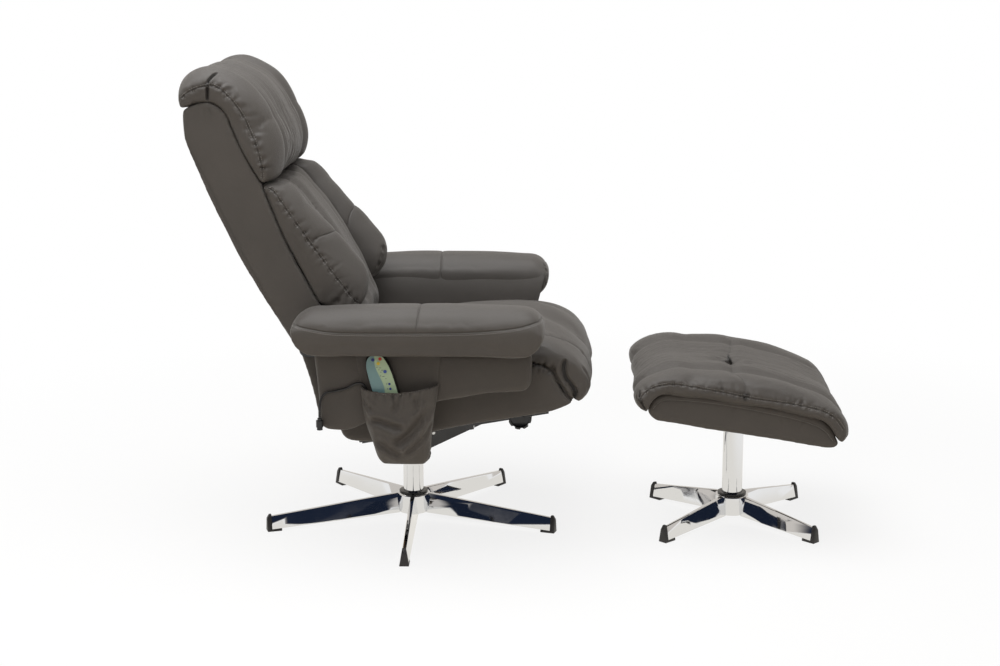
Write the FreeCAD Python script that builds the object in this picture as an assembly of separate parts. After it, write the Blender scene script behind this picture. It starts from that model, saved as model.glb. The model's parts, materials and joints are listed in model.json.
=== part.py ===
import FreeCAD, Part
import math
import os

# Swivel recliner with its matching footstool, millimetres.
# The chair faces +X, the sitter's right-hand side is -Y and the floor is Z = 0.
# The origin is on the floor under the middle of the pair, so the two swivel axes have their own X.
chair_x = -237.0
stool_x = 479.0
stool_y = 15.0

# Star bases: hollow chromed legs welded to a hub, with moulded end caps that stand on the floor
chair_foot_radius = 335.0
stool_foot_radius = 236.0
chair_leg_count = 5
stool_leg_count = 4
chair_leg_angle = 271.3
stool_leg_angle = 46.5
leg_root_top = 66.0
leg_root_low = 20.0
leg_tip_top = 34.0
leg_tip_low = 5.0
leg_root_width = 26.0
leg_tip_width = 19.0
leg_ridge_share = 0.38
leg_wall = 2.0
cap_wall = 10.0
cap_pad = 32.0
cap_width = 21.0
cap_ridge = 8.0
cap_top = 38.0
cap_spigot = 14.0

# Hub, bush and column of both bases
hub_radius = 37.0
hub_low = 18.0
hub_top = 62.0
hub_floor = 6.0
hub_chamfer = 2.5
bush_wall = 4.5
bush_low = 30.0
bush_flange_radius = 32.0
bush_flange = 4.0
column_radius = 22.5
column_wall = 2.5
running_gap = 0.05
washer_height = 4.0
seat_gap = 0.1
chair_column_top = 171.0

# Mechanism under the chair seat, laid out along the slope on which the seat slides
slide_angle = 10.0
slide_base_z = 228.0
plate_size = 86.0
plate_thickness = 5.0
bolt_radius = 4.0
bolt_head_radius = 6.5
bolt_head = 5.0
bolt_inset = 14.0
tray_sheet = 3.0
tray_half_width = 80.0
tray_rear_x = -79.0
tray_ramp_x = 45.0
tray_ramp_z = 185.0
tray_floor_front_x = 38.0
tray_front_x = 160.0
tray_front_height = 14.5
tray_rear_corner = 10.0
tray_rear_rise = 35.0
tray_rear_slant = 25.0
tray_bolt_x = 52.0
tray_bolt_z = 221.0
tray_bolt_radius = 2.5
tray_bolt_head_radius = 4.0
tray_bolt_head = 3.0
crossbar_thickness = 8.0
crossbar_width = 50.0
front_crossbar_width = 40.0
front_crossbar_s = 128.0
rail_height = 18.0
rail_width = 20.0
rail_wall = 2.0
rail_inset = 75.0
rail_start = -95.0
rail_end = 312.0
runner_gap = 0.3
runner_sheet = 3.0
runner_start = -100.0
runner_end = 268.0
runner_low = 12.0

# Recline linkage: the back's lower pin pushes the seat along its rails
pivot_x = -200.0
pivot_z = 442.0
recline_angle = 20.0
link_x = -150.0
link_drop = 142.0
link_pin_radius = 5.0
link_ear_radius = 11.0
link_ear_thickness = 6.0
link_ear_height = 58.0
link_slot_side_gap = 1.5
link_slot_end_gap = 2.0
link_plate_thickness = 5.0
link_plate_inset = 37.5
link_plate_wall = 5.5
link_pin_overhang = 3.0

# Clamp knob that locks the slide
knob_s = 252.0
knob_radius = 25.0
knob_height = 22.0
knob_rim = 5.0
knob_lobes = 8
knob_lobe_radius = 4.0
knob_boss_radius = 9.0
knob_boss = 12.0
knob_dish_depth = 9.0
knob_stem_radius = 4.0
clamp_nut_radius = 8.0
clamp_nut_height = 8.0

# Side plates that carry the armrests and the back's hinges
side_gap = 5.0
side_sheet = 6.0
side_foot_width = 60.0
side_neck_width = 120.0
side_foot_drop = 6.0
side_strip_height = 30.0
side_strip_front = 250.0
side_flange_width = 54.0
side_flange_thickness = 5.0
side_flange_rear = -172.0
pivot_bolt_radius = 6.0
pivot_head_radius = 10.0
pivot_head = 6.0
pivot_nut = 8.0
pivot_washer_gap = 0.2

# Armrests and padded side panels
arm_rear_x = -214.0
arm_low_z = 457.0
arm_length = 515.0
arm_thickness = 91.0
arm_gap = 15.0
arm_width = 130.0
panel_rear_x = -179.0
panel_length = 452.0
panel_height = 167.0
panel_thickness = 60.0
panel_edge_share = 0.976
panel_gap = 1.0

# Back: upholstered boards, rear panel, webbing and cushions
back_rake = 250.0
back_height = 500.0
link_z = pivot_z - link_drop
board_thickness = 20.0
shell_half_width = 235.0
plate_inner_y = shell_half_width + side_gap
arm_inner_y = shell_half_width + arm_gap
rail_y = shell_half_width - rail_inset
link_plate_y = shell_half_width - link_plate_inset
rear_panel_thickness = 8.0
webbing_thickness = 3.0
back_bar_depth = 22.0
head_overhang = 5.0
bolster_width = 95.0
cushion_gap = 0.4
motor_radius = 34.0
motor_height = 22.0
motor_y = 75.0

# Seat: box, deck and cushion
seat_rear_x = -140.0
seat_low_z = 240.0
seat_depth = 530.0
seat_height = 270.0
seat_cushion_inset = 2.0
end_rail_rear_depth = 26.0
end_rail_front_depth = 78.0
batten_width = 40.0
batten_height = 20.0

# Side pocket with the massage handset and its lead
pocket_left_x = -91.0
pocket_low_z = 218.0
pocket_width = 180.0
pocket_height = 230.0
pocket_sheet = 2.5
pocket_hem = 0.2
handset_x = -10.5
handset_z = 312.8
handset_angle = 15.0
handset_width = 53.0
handset_length = 147.0
handset_thickness = 22.0
handset_rest_gap = 0.3
case_edge_share = 0.93
face_width_share = 0.9
face_length_share = 0.965
face_thickness = 1.2
face_proud = 0.3
key_gap = 0.2
key_travel = 0.6
key_proud = 0.9
key_depth = 2.6
relief_length = 12.0
relief_root_radius = 4.5
relief_tip_radius = 3.2
cord_radius = 2.5
plug_radius = 7.5
plug_length = 14.0
plug_neck_radius = 4.5
plug_neck_length = 5.0
plug_barrel_radius = 6.0
plug_barrel_length = 6.0

# Footstool top
stool_depth = 455.0
stool_height = 158.0
stool_rear_x = -229.0
stool_low_z = 226.0
stool_half_width = 220.0
stool_cushion_half_width = 238.0
stool_wall = 14.0
stool_plate_size = 130.0

# One overrun serves every cut
overrun = 5.0

# Outlines seen from the side, as shares of the sizes named above.
# Every second point lies on the arc between its two neighbours, and a list closes on its first point.
back_board_shares = [
    (0.088, -0.3), (0.148, -0.296), (0.208, -0.292), (0.196, -0.138), (0.192, 0.016), (0.16, 0.106),
    (0.104, 0.192), (-0.152, 0.44), (-0.356, 0.696), (-0.488, 0.816), (-0.6, 0.94), (-0.672, 1.006),
    (-0.772, 1.028), (-0.892, 1.02), (-0.99, 0.992), (-0.988, 0.926), (-0.968, 0.86), (-0.562, 0.4),
    (-0.05, -0.028), (0.03, -0.164),
]
center_seam_shares = [
    (-0.3505, 0.69), (-0.1505, 0.44), (0.1055, 0.192), (0.1595, 0.11), (0.1908, 0.028), (0.32, 0.026),
    (0.424, 0.028), (0.408, 0.092), (0.36, 0.156), (0.104, 0.4), (-0.19, 0.626), (-0.272, 0.668),
]
center_crown_shares = [
    (-0.3505, 0.69), (-0.1505, 0.44), (0.1055, 0.192), (0.1595, 0.11), (0.1908, 0.028), (0.32, 0.026),
    (0.44, 0.03), (0.464, 0.084), (0.416, 0.156), (0.176, 0.416), (-0.156, 0.636), (-0.258, 0.672),
]
bolster_seam_shares = [
    (-0.3505, 0.69), (-0.1505, 0.44), (0.1055, 0.192), (0.26, 0.176), (0.4, 0.174), (0.428, 0.18),
    (0.432, 0.198), (0.26, 0.31), (0.08, 0.428), (-0.08, 0.543), (-0.24, 0.656), (-0.3, 0.678),
]
bolster_crown_shares = [
    (-0.3505, 0.69), (-0.1505, 0.44), (0.1055, 0.192), (0.28, 0.166), (0.436, 0.162), (0.524, 0.25),
    (0.466, 0.352), (0.3, 0.446), (0.0, 0.607), (-0.088, 0.662), (-0.156, 0.688), (-0.256, 0.686),
]
head_seam_shares = [
    (-0.992, 0.994), (-0.892, 1.021), (-0.772, 1.029), (-0.67, 1.007), (-0.598, 0.94), (-0.486, 0.816),
    (-0.354, 0.697), (-0.34, 0.702), (-0.332, 0.718), (-0.324, 0.812), (-0.412, 0.906),
    (-0.56, 1.036), (-0.74, 1.1), (-0.892, 1.084), (-1.008, 1.048), (-1.012, 1.02),
]
head_crown_shares = [
    (-0.992, 0.994), (-0.892, 1.021), (-0.772, 1.029), (-0.67, 1.007), (-0.598, 0.94), (-0.486, 0.816),
    (-0.354, 0.697), (-0.286, 0.698), (-0.236, 0.724), (-0.216, 0.832), (-0.308, 0.95), (-0.49, 1.094),
    (-0.74, 1.157), (-0.94, 1.136), (-1.04, 1.072), (-1.034, 1.026),
]
seat_box_shares = [
    (0.011, 0.11), (0.022, 0.048), (0.045, 0.014), (0.115, 0.0), (0.191, 0.002), (0.604, 0.174),
    (0.83, 0.2444), (0.8925, 0.285), (0.938, 0.333), (0.891, 0.437), (0.86, 0.559), (0.83, 0.607),
    (0.787, 0.63), (0.399, 0.4965), (0.011, 0.363), (0.011, 0.23),
]
seat_seam_shares = [
    (0.004, 0.378), (0.396, 0.511), (0.787, 0.644), (0.836, 0.62), (0.868, 0.57), (0.898, 0.448),
    (0.945, 0.344), (0.953, 0.337), (0.96, 0.348), (0.978, 0.43), (0.972, 0.53), (0.95, 0.608),
    (0.905, 0.668), (0.84, 0.7), (0.76, 0.704), (0.38, 0.62), (0.004, 0.53), (0.002, 0.46),
]
seat_crown_shares = [
    (0.004, 0.378), (0.396, 0.511), (0.787, 0.644), (0.836, 0.62), (0.868, 0.57), (0.898, 0.448),
    (0.945, 0.344), (0.962, 0.324), (0.982, 0.342), (1.003, 0.42), (0.998, 0.5), (0.974, 0.62),
    (0.926, 0.725), (0.846, 0.805), (0.736, 0.83), (0.368, 0.785), (0.004, 0.7), (0.002, 0.548),
]
arm_seam_shares = [
    (0.078, 0.022), (0.505, 0.022), (0.926, 0.022), (0.972, 0.26), (0.984, 0.54), (0.955, 0.59),
    (0.905, 0.61), (0.513, 0.62), (0.124, 0.604), (0.047, 0.593), (0.002, 0.56), (0.019, 0.253),
]
arm_crown_shares = [
    (0.074, 0), (0.505, 0), (0.93, 0), (0.98, 0.26), (0.992, 0.6), (0.964, 0.89), (0.89, 1.02),
    (0.513, 1.05), (0.124, 0.97), (0.035, 0.88), (0, 0.67), (0.016, 0.275),
]
side_panel_shares = [
    (0, 1), (0.015, 0.575), (0.022, 0.168), (0.031, 0.054), (0.064, 0.006), (0.119, 0),
    (0.175, 0.018), (0.564, 0.372), (0.94, 0.515), (0.978, 0.55), (0.994, 0.65), (0.999, 0.82),
    (1, 1), (0.498, 1),
]
stool_box_shares = [
    (0.064, 0.5), (0.09, 0.684), (0.163, 0.759), (0.49, 0.652), (0.82, 0.468), (0.903, 0.329),
    (0.938, 0.127), (0.947, 0.07), (0.93, 0.028), (0.914, 0.018), (0.895, 0.018), (0.5015, 0.1925),
    (0.108, 0.367), (0.08, 0.425),
]
stool_seam_shares = [
    (0.064, 0.503), (0.09, 0.687), (0.163, 0.763), (0.49, 0.655), (0.82, 0.472), (0.903, 0.332),
    (0.94, 0.13), (0.952, 0.108), (0.965, 0.171), (0.952, 0.386), (0.864, 0.544), (0.556, 0.772),
    (0.248, 0.892), (0.103, 0.867), (0.037, 0.709), (0.037, 0.582),
]
stool_crown_shares = [
    (0.064, 0.503), (0.09, 0.687), (0.163, 0.763), (0.49, 0.655), (0.82, 0.472), (0.903, 0.332),
    (0.94, 0.13), (0.968, 0.093), (0.99, 0.203), (0.968, 0.418), (0.892, 0.6), (0.578, 0.895),
    (0.27, 0.955), (0.09, 0.915), (0.006, 0.74), (0.009, 0.582),
]
pocket_sheet_shares = [
    (0, 1), (0.035, 0.83), (0.061, 0.67), (0.126, 0.36), (0.233, 0.09), (0.26, 0.03), (0.311, 0),
    (0.55, 0), (0.79, 0), (0.842, 0.035), (0.858, 0.12), (0.909, 0.48), (0.988, 1), (0.5, 1),
]

# Swell of the padded pieces across their width: share of the half width, share of the crown
armrest_swell_shares = [(-1, 0), (-0.88, 0.45), (-0.62, 0.82), (0, 1), (0.62, 0.82), (0.88, 0.45), (1, 0)]
center_swell_shares = [(-1, 0), (-0.6, 0.8), (0, 1), (0.6, 0.8), (1, 0)]
bolster_swell_shares = [(0, 0.3), (0.22, 0.85), (0.55, 1), (0.85, 0.6), (1, 0)]
head_swell_shares = [
    (-1, 0), (-0.92, 0.55), (-0.66, 1), (-0.34, 0.84), (0, 1), (0.34, 0.84), (0.66, 1), (0.92, 0.55), (1, 0)
]
panel_swell_shares = [(-1, 1), (0.4, 1), (0.85, 0.7), (1, 0)]
seat_swell_shares = [
    (-1, 0), (-0.95, 0.45), (-0.84, 0.8), (-0.64, 0.98), (0, 1),
    (0.64, 0.98), (0.84, 0.8), (0.95, 0.45), (1, 0),
]
stool_swell_shares = [
    (-1, 0), (-0.94, 0.6), (-0.8, 1), (-0.66, 0.86), (-0.38, 0.98), (0, 0.78),
    (0.38, 0.98), (0.66, 0.86), (0.8, 1), (0.94, 0.6), (1, 0),
]

case_swell_shares = [(-1, 0), (-0.75, 0.75), (-0.35, 1), (0.35, 1), (0.75, 0.75), (1, 0)]

# Pocket bag in plan, from its bottom to above its mouth: height, left edge, right edge and depth,
# the first three as shares of the pocket and the depth in sheets of handset thickness
bag_shares = [
    (0, 0.311, 0.79, 0.55), (0.09, 0.235, 0.85, 1.15), (0.2, 0.195, 0.864, 1.5), (0.3, 0.15, 0.873, 1.65),
    (0.42, 0.108, 0.895, 1.77), (0.6, 0.075, 0.934, 1.8), (0.84, 0.035, 0.972, 1.5),
]
mouth_shares = [(-0.05, 0.73), (0.5, 0.692), (1.05, 0.765)]

# Handset outline as shares of its width and length, and its keys: name, radius, across, along
handset_shares = [
    (-0.36, 0), (0, -0.012), (0.36, 0), (0.47, 0.03), (0.5, 0.12), (0.508, 0.4), (0.487, 0.65), (0.445, 0.785),
    (0.365, 0.89), (0.19, 0.978), (-0.06, 1.003), (-0.26, 0.988), (-0.4, 0.945), (-0.483, 0.87), (-0.517, 0.77),
    (-0.523, 0.45), (-0.5, 0.12), (-0.47, 0.03),
]
key_radius = 3.4
small_key_radius = 2.4
key_shares = {
    "key_power": (key_radius, -0.121, 0.921),
    "key_mode": (key_radius, 0.155, 0.91),
    "key_timer": (key_radius, 0.041, 0.854),
    "key_level": (key_radius, 0.208, 0.719),
    "key_upper_zone": (small_key_radius, 0.24, 0.533),
    "key_lower_zone": (small_key_radius, 0.226, 0.463),
}

# Route of the handset lead in the chair's own frame: a loop in the pocket, out at its rear corner,
# along the side panel and down behind it to the plug
cord_points = [
    (-6.94, -320.0, 299.5), (-2.0, -320.0, 281.0), (-5.0, -320.5, 258.0), (-19.0, -321.5, 241.5),
    (-37.0, -321.5, 245.0), (-45.0, -321.0, 265.0), (-53.0, -320.0, 290.0), (-58.0, -319.0, 316.0),
    (-61.0, -318.0, 341.0), (-65.0, -317.5, 368.0), (-72.0, -316.5, 389.0), (-89.0, -314.0, 389.5),
    (-107.0, -311.5, 377.0), (-134.0, -309.6, 370.0), (-157.0, -310.0, 366.0), (-164.5, -312.0, 350.0),
    (-166.0, -314.5, 331.0), (-166.0, -314.5, 313.5),
]


def vec(x, y, z):
    return FreeCAD.Vector(x, y, z)


chair_place = vec(chair_x, 0, 0)
stool_place = vec(stool_x, stool_y, 0)


def ring(points, y):
    """Closed wire of arcs in the plane at y; every second point is inside an arc."""
    count = len(points)
    edges = []
    for i in range(0, count, 2):
        a, m, b = (vec(points[j % count][0], y, points[j % count][1]) for j in (i, i + 1, i + 2))
        if (m - a).cross(b - m).Length < (b - a).Length * flat_rise:
            edges.append(Part.LineSegment(a, b).toShape())
        else:
            edges.append(Part.Arc(a, m, b).toShape())
    return Part.Wire(edges)


# An arc that rises less than this above its chord is drawn as a line
flat_rise = 0.15


def scaled(shares, x, z, width, height):
    return [(x + sx * width, z + sz * height) for sx, sz in shares]


def prism(points, low_y, high_y):
    """Straight-sided solid of one side outline between two planes."""
    return Part.Face(ring(points, low_y)).extrude(vec(0, high_y - low_y, 0))


def sheet(points, shift, half_width):
    """Bent sheet along an open run of arcs, thickened by a shift in X and Z."""
    lines = []
    for dx, dz in ((0, 0), shift):
        moved = [vec(x + dx, -half_width, z + dz) for x, z in points]
        lines.append([Part.Arc(*moved[i:i + 3]).toShape() for i in range(0, len(moved) - 2, 2)])
    ends = []
    for line in lines:
        first, last = line[0], line[-1]
        ends.append((first.valueAt(first.FirstParameter), last.valueAt(last.LastParameter)))
    caps = [Part.LineSegment(ends[0][side], ends[1][side]).toShape() for side in (0, 1)]
    wire = Part.Wire(Part.__sortEdges__(lines[0] + lines[1] + caps))
    return Part.Face(wire).extrude(vec(0, 2 * half_width, 0))


def pad(seam, crown, swell_shares, middle_y, half_width):
    """Padded solid: the side outline swells from its seam at the edges to its crown in between."""
    wires = []
    for place, swell in swell_shares:
        points = [(a + (c - a) * swell, b + (d - b) * swell) for (a, b), (c, d) in zip(seam, crown)]
        wires.append(ring(points, middle_y + place * half_width))
    return Part.makeLoft(wires, True, False)


def mirrored(shape):
    return shape.mirror(vec(0, 0, 0), vec(0, 1, 0))


def tube(outer, inner, low, high):
    return Part.makeCylinder(outer, high - low, vec(0, 0, low)).cut(
        Part.makeCylinder(inner, high - low + 2 * overrun, vec(0, 0, low - overrun)))


def block(low, high):
    size = high - low
    return Part.makeBox(size.x, size.y, size.z, low)


def sloped(shape):
    """Turns a shape built level at the slide's origin onto the slide's slope."""
    turned = shape.copy()
    turned.rotate(vec(0, 0, 0), vec(0, 1, 0), -slide_angle)
    turned.translate(vec(0, 0, slide_base_z))
    return turned


def across(radius, low_y, high_y, x, z):
    return Part.makeCylinder(radius, high_y - low_y, vec(x, low_y, z), vec(0, 1, 0))


# Floor bases

def leg_section(x, low, top, width):
    half = width / 2
    ridge = half * leg_ridge_share
    corners = [vec(x, -half, low), vec(x, half, low), vec(x, ridge, top), vec(x, -ridge, top)]
    return Part.makePolygon(corners + corners[:1])


def leg_solid(tip, inset):
    """Tapered leg along +X; an inset gives the hollow inside it."""
    ends = [
        leg_section(0, leg_root_low, leg_root_top, leg_root_width),
        leg_section(tip, leg_tip_low, leg_tip_top, leg_tip_width),
    ]
    if inset:
        ends = [end.makeOffset2D(-inset) for end in ends]
    return Part.makeLoft(ends, True, True)


def star_leg(foot_radius):
    tip = foot_radius - cap_wall
    leg = leg_solid(tip, 0).cut(leg_solid(tip, leg_wall))
    return leg.cut(Part.makeCylinder(hub_radius, leg_root_top + overrun))


def leg_cap(foot_radius):
    """End cap: a wedge plate across the leg's end, a pad under it and a spigot inside it."""
    tip = foot_radius - cap_wall
    under = leg_tip_low + (leg_root_low - leg_tip_low) * (cap_pad - cap_wall) / tip
    side = [
        vec(foot_radius - cap_pad, -cap_width, 0), vec(foot_radius, -cap_width, 0),
        vec(foot_radius, -cap_width, leg_tip_top - leg_tip_low),
        vec(foot_radius - cap_wall / 2, -cap_width, cap_top), vec(tip, -cap_width, cap_top),
        vec(tip, -cap_width, leg_tip_low), vec(foot_radius - cap_pad, -cap_width, under),
    ]
    wedge = Part.Face(Part.makePolygon(side + side[:1])).extrude(vec(0, 2 * cap_width, 0))
    front = [
        vec(0, -cap_width / 2, 0), vec(0, cap_width / 2, 0),
        vec(0, cap_ridge / 2, cap_top), vec(0, -cap_ridge / 2, cap_top),
    ]
    wedge = wedge.common(Part.Face(Part.makePolygon(front + front[:1])).extrude(vec(foot_radius, 0, 0)))
    slot = block(vec(tip - cap_spigot, -cap_width, 0), vec(tip, cap_width, cap_top))
    return wedge.fuse(leg_solid(tip, leg_wall).common(slot)).removeSplitter()


def star(piece, count, first_angle):
    copies = []
    for i in range(count):
        turned = piece.copy()
        turned.rotate(vec(0, 0, 0), vec(0, 0, 1), first_angle + i * 360 / count)
        copies.append(turned)
    return Part.makeCompound(copies)


def hub():
    bore = column_radius + bush_wall
    cup = Part.makeCylinder(hub_radius, hub_top - hub_low, vec(0, 0, hub_low))
    rims = [e for e in cup.Edges if e.Length > hub_radius and len(e.Vertexes) == 1]
    cup = cup.makeChamfer(hub_chamfer, rims)
    return cup.cut(Part.makeCylinder(bore, hub_top, vec(0, 0, hub_low + hub_floor)))


def bush():
    inner = column_radius + running_gap
    sleeve = tube(column_radius + bush_wall, inner, bush_low, hub_top)
    return sleeve.fuse(tube(bush_flange_radius, inner, hub_top, hub_top + bush_flange)).removeSplitter()


def thrust_washer():
    floor = hub_low + hub_floor
    return tube(column_radius, column_radius / 2, floor, floor + washer_height)


column_low = hub_low + hub_floor + washer_height + seat_gap


def chair_column():
    return tube(column_radius, column_radius - column_wall, column_low, chair_column_top)


def bolts(size, low, high, head_down):
    """Four hexagon bolts at the corners of a square plate."""
    reach = size / 2 - bolt_inset
    made = []
    for x in (-reach, reach):
        for y in (-reach, reach):
            shank = Part.makeCylinder(bolt_radius, high - low, vec(x, y, low))
            corners = []
            for angle in range(0, 361, 60):
                turn = math.radians(angle)
                corner_x = x + bolt_head_radius * math.cos(turn)
                corners.append(vec(corner_x, y + bolt_head_radius * math.sin(turn), low))
            head = Part.Face(Part.makePolygon(corners)).extrude(vec(0, 0, -head_down))
            made.append(shank.fuse(head))
    return Part.makeCompound(made)


def bolted_plate(size, low):
    """Square plate with its four bolt holes."""
    reach = size / 2 - bolt_inset
    plate = block(vec(-size / 2, -size / 2, low), vec(size / 2, size / 2, low + plate_thickness))
    for x in (-reach, reach):
        for y in (-reach, reach):
            plate = plate.cut(Part.makeCylinder(bolt_radius, plate_thickness, vec(x, y, low)))
    return plate


def floor_bases():
    parts = {}
    for name, place, radius, count, angle in (
        ("chair", chair_place, chair_foot_radius, chair_leg_count, chair_leg_angle),
        ("stool", stool_place, stool_foot_radius, stool_leg_count, stool_leg_angle),
    ):
        parts[name + "_hub"] = (hub(), place)
        parts[name + "_hub_bush"] = (bush(), place)
        parts[name + "_thrust_washer"] = (thrust_washer(), place)
        parts[name + "_legs"] = (star(star_leg(radius), count, angle), place)
        parts[name + "_feet"] = (star(leg_cap(radius), count, angle), place)
    return parts


# Mechanism

tray_floor_z = chair_column_top + plate_thickness
slope = math.tan(math.radians(slide_angle))


def slope_z(x):
    return slide_base_z + slope * x


def mechanism_tray():
    """Pressed channel: a flat floor over the column plate, then a ramp that rises to the front."""
    corners = [
        (tray_rear_x + tray_rear_slant, tray_floor_z), (tray_floor_front_x, tray_floor_z),
        (tray_ramp_x, tray_ramp_z),
        (tray_front_x, slope_z(tray_front_x) - tray_front_height), (tray_front_x, slope_z(tray_front_x)),
        (tray_rear_x, slope_z(tray_rear_x)), (tray_rear_x, tray_floor_z + tray_rear_rise),
        (tray_rear_x + tray_rear_corner, tray_floor_z + tray_rear_corner),
    ]
    outline = Part.makePolygon([vec(x, -tray_half_width, z) for x, z in corners + corners[:1]])
    outer = Part.Face(outline).extrude(vec(0, 2 * tray_half_width, 0))
    depth = 2 * (tray_half_width - tray_sheet)
    inner = Part.Face(outline.makeOffset2D(-tray_sheet)).extrude(vec(0, depth, 0))
    inner.translate(vec(0, tray_sheet, 0))
    raised = inner.copy()
    raised.translate(vec(0, 0, 2 * tray_sheet))
    tray = outer.cut(inner).cut(raised)
    reach = plate_size / 2 - bolt_inset
    for x in (-reach, reach):
        for y in (-reach, reach):
            hole = Part.makeCylinder(bolt_radius, 2 * tray_sheet, vec(x, y, tray_floor_z - tray_sheet))
            tray = tray.cut(hole)
    return tray.cut(across(tray_bolt_radius, -tray_half_width, tray_half_width, tray_bolt_x, tray_bolt_z))


def tray_bolt():
    """Round-headed bolt through the tray's side with its nut inside."""
    inner = tray_half_width - tray_sheet
    runs = [
        (tray_bolt_head_radius, tray_half_width, tray_half_width + tray_bolt_head),
        (tray_bolt_radius, inner, tray_half_width),
        (tray_bolt_head_radius, inner - tray_bolt_head, inner),
    ]
    head, shank, nut = [across(radius, y0, y1, tray_bolt_x, tray_bolt_z) for radius, y0, y1 in runs]
    return head.fuse([shank, nut]).removeSplitter()


def crossbars():
    side = plate_inner_y
    main = block(vec(-crossbar_width / 2, -side, 0), vec(crossbar_width / 2, side, crossbar_thickness))
    front_half = front_crossbar_width / 2
    reach = rail_y + rail_width / 2
    front = block(
        vec(front_crossbar_s - front_half, -reach, 0),
        vec(front_crossbar_s + front_half, reach, crossbar_thickness))
    return Part.makeCompound([sloped(main), sloped(front)])


link_travel = 2 * math.sin(math.radians(recline_angle) / 2) * math.hypot(link_x - pivot_x, link_z - pivot_z)


def slide_rails():
    """Two box rails; the right-hand one has the slot that the clamp stem passes through."""
    low = crossbar_thickness
    half = rail_width / 2
    outer = block(vec(rail_start, -half, low), vec(rail_end, half, low + rail_height))
    inner = block(
        vec(rail_start - overrun, -half + rail_wall, low + rail_wall),
        vec(rail_end + overrun, half - rail_wall, low + rail_height - rail_wall))
    rail = outer.cut(inner)
    left = rail.copy()
    left.translate(vec(0, rail_y, 0))
    right = rail.copy()
    right.translate(vec(0, -rail_y, 0))
    stem = knob_stem_radius + seat_gap
    middle = low + rail_height / 2
    slot = block(
        vec(knob_s, -rail_y - rail_width, middle - stem),
        vec(knob_s + link_travel, -rail_y + rail_width, middle + stem))
    for s in (knob_s, knob_s + link_travel):
        slot = slot.fuse(across(stem, -rail_y - rail_width, -rail_y + rail_width, s, middle))
    return Part.makeCompound([sloped(left), sloped(right.cut(slot))])


def side_plate():
    """Flat steel side: foot on the crossbar, neck, strip under the armrest and hinge ear."""
    y0 = plate_inner_y
    y1 = plate_inner_y + side_sheet
    top = arm_low_z
    low = top - side_strip_height
    foot = slide_base_z - side_foot_drop
    neck = [
        vec(-side_foot_width / 2, y0, foot), vec(side_foot_width / 2, y0, foot),
        vec(side_neck_width / 2, y0, top), vec(-side_neck_width / 2, y0, top),
    ]
    web = Part.Face(Part.makePolygon(neck + neck[:1])).extrude(vec(0, side_sheet, 0))
    strip = block(vec(pivot_x, y0, low), vec(side_strip_front, y1, top))
    ear = across(side_strip_height / 2, y0, y1, pivot_x, top - side_strip_height / 2)
    flange = block(
        vec(side_flange_rear, y1, top - side_flange_thickness),
        vec(side_strip_front, y1 + side_flange_width, top))
    plate = web.fuse([strip, ear, flange]).removeSplitter()
    return plate.cut(across(pivot_bolt_radius + running_gap, y0 - overrun, y1 + overrun, pivot_x, pivot_z))


def side_panel():
    """Padded side panel with softened outer edges."""
    full = scaled(side_panel_shares, panel_rear_x, panel_low_z, panel_length, panel_height)
    middle = (panel_rear_x + panel_length / 2, panel_low_z + panel_height / 2)
    small = [
        (middle[0] + (x - middle[0]) * panel_edge_share, middle[1] + (z - middle[1]) * panel_edge_share)
        for x, z in full
    ]
    half = panel_thickness / 2
    return pad(small, full, panel_swell_shares, plate_inner_y + side_sheet + half, half)


panel_low_z = arm_low_z - side_flange_thickness - panel_gap - panel_height


def armrest():
    seam = scaled(arm_seam_shares, arm_rear_x, arm_low_z, arm_length, arm_thickness)
    crown = scaled(arm_crown_shares, arm_rear_x, arm_low_z, arm_length, arm_thickness)
    return pad(seam, crown, armrest_swell_shares, arm_inner_y + arm_width / 2, arm_width / 2)


def carrier():
    plate = side_plate()
    panel = side_panel()
    flange_cut = block(
        vec(arm_rear_x, arm_inner_y - overrun, 0),
        vec(arm_rear_x + arm_length, arm_inner_y, arm_low_z + arm_thickness))
    rest = armrest().cut(flange_cut)
    pieces = {
        "chair_column": chair_column(),
        "column_plate": bolted_plate(plate_size, chair_column_top),
        "plate_bolts": Part.makeCompound([
            bolts(plate_size, chair_column_top, tray_floor_z + tray_sheet, bolt_head),
            tray_bolt(), mirrored(tray_bolt())]),
        "mechanism_tray": mechanism_tray(),
        "crossbars": crossbars(),
        "slide_rails": slide_rails(),
        "side_plates": Part.makeCompound([plate, mirrored(plate)]),
        "side_panel_left": panel,
        "side_panel_right": mirrored(panel),
        "armrest_left": rest,
        "armrest_right": mirrored(rest),
    }
    return {name: (shape, chair_place) for name, shape in pieces.items()}


# Pocket, handset and lead

panel_face_y = -(plate_inner_y + side_sheet + panel_thickness)
sheet_face_y = panel_face_y - pocket_hem - pocket_sheet


def pocket_back_sheet():
    points = scaled(pocket_sheet_shares, pocket_left_x, pocket_low_z, pocket_width, pocket_height)
    return prism(points, sheet_face_y, sheet_face_y + pocket_sheet)


def bag_section(z, left, right, depth, inset):
    """Plan outline of the bag at one height; the inside one runs out through the back."""
    back = sheet_face_y + (overrun if inset else 0)
    front = sheet_face_y - depth + inset
    x0 = left + inset
    x1 = right - inset
    bulge = (back - front) * bag_bulge_share
    middle = (x0 + x1) / 2
    a, b = vec(x0, back, z), vec(x1, back, z)
    c, d = vec(x1 - bulge, front + bulge / 2, z), vec(x0 + bulge, front + bulge / 2, z)
    return Part.Wire([
        Part.LineSegment(a, b).toShape(),
        Part.Arc(b, vec(x1 - bulge * bag_corner_share, (back + front) / 2, z), c).toShape(),
        Part.Arc(c, vec(middle, front, z), d).toShape(),
        Part.Arc(d, vec(x0 + bulge * bag_corner_share, (back + front) / 2, z), a).toShape(),
    ])


bag_bulge_share = 0.4
bag_corner_share = 0.25


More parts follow.
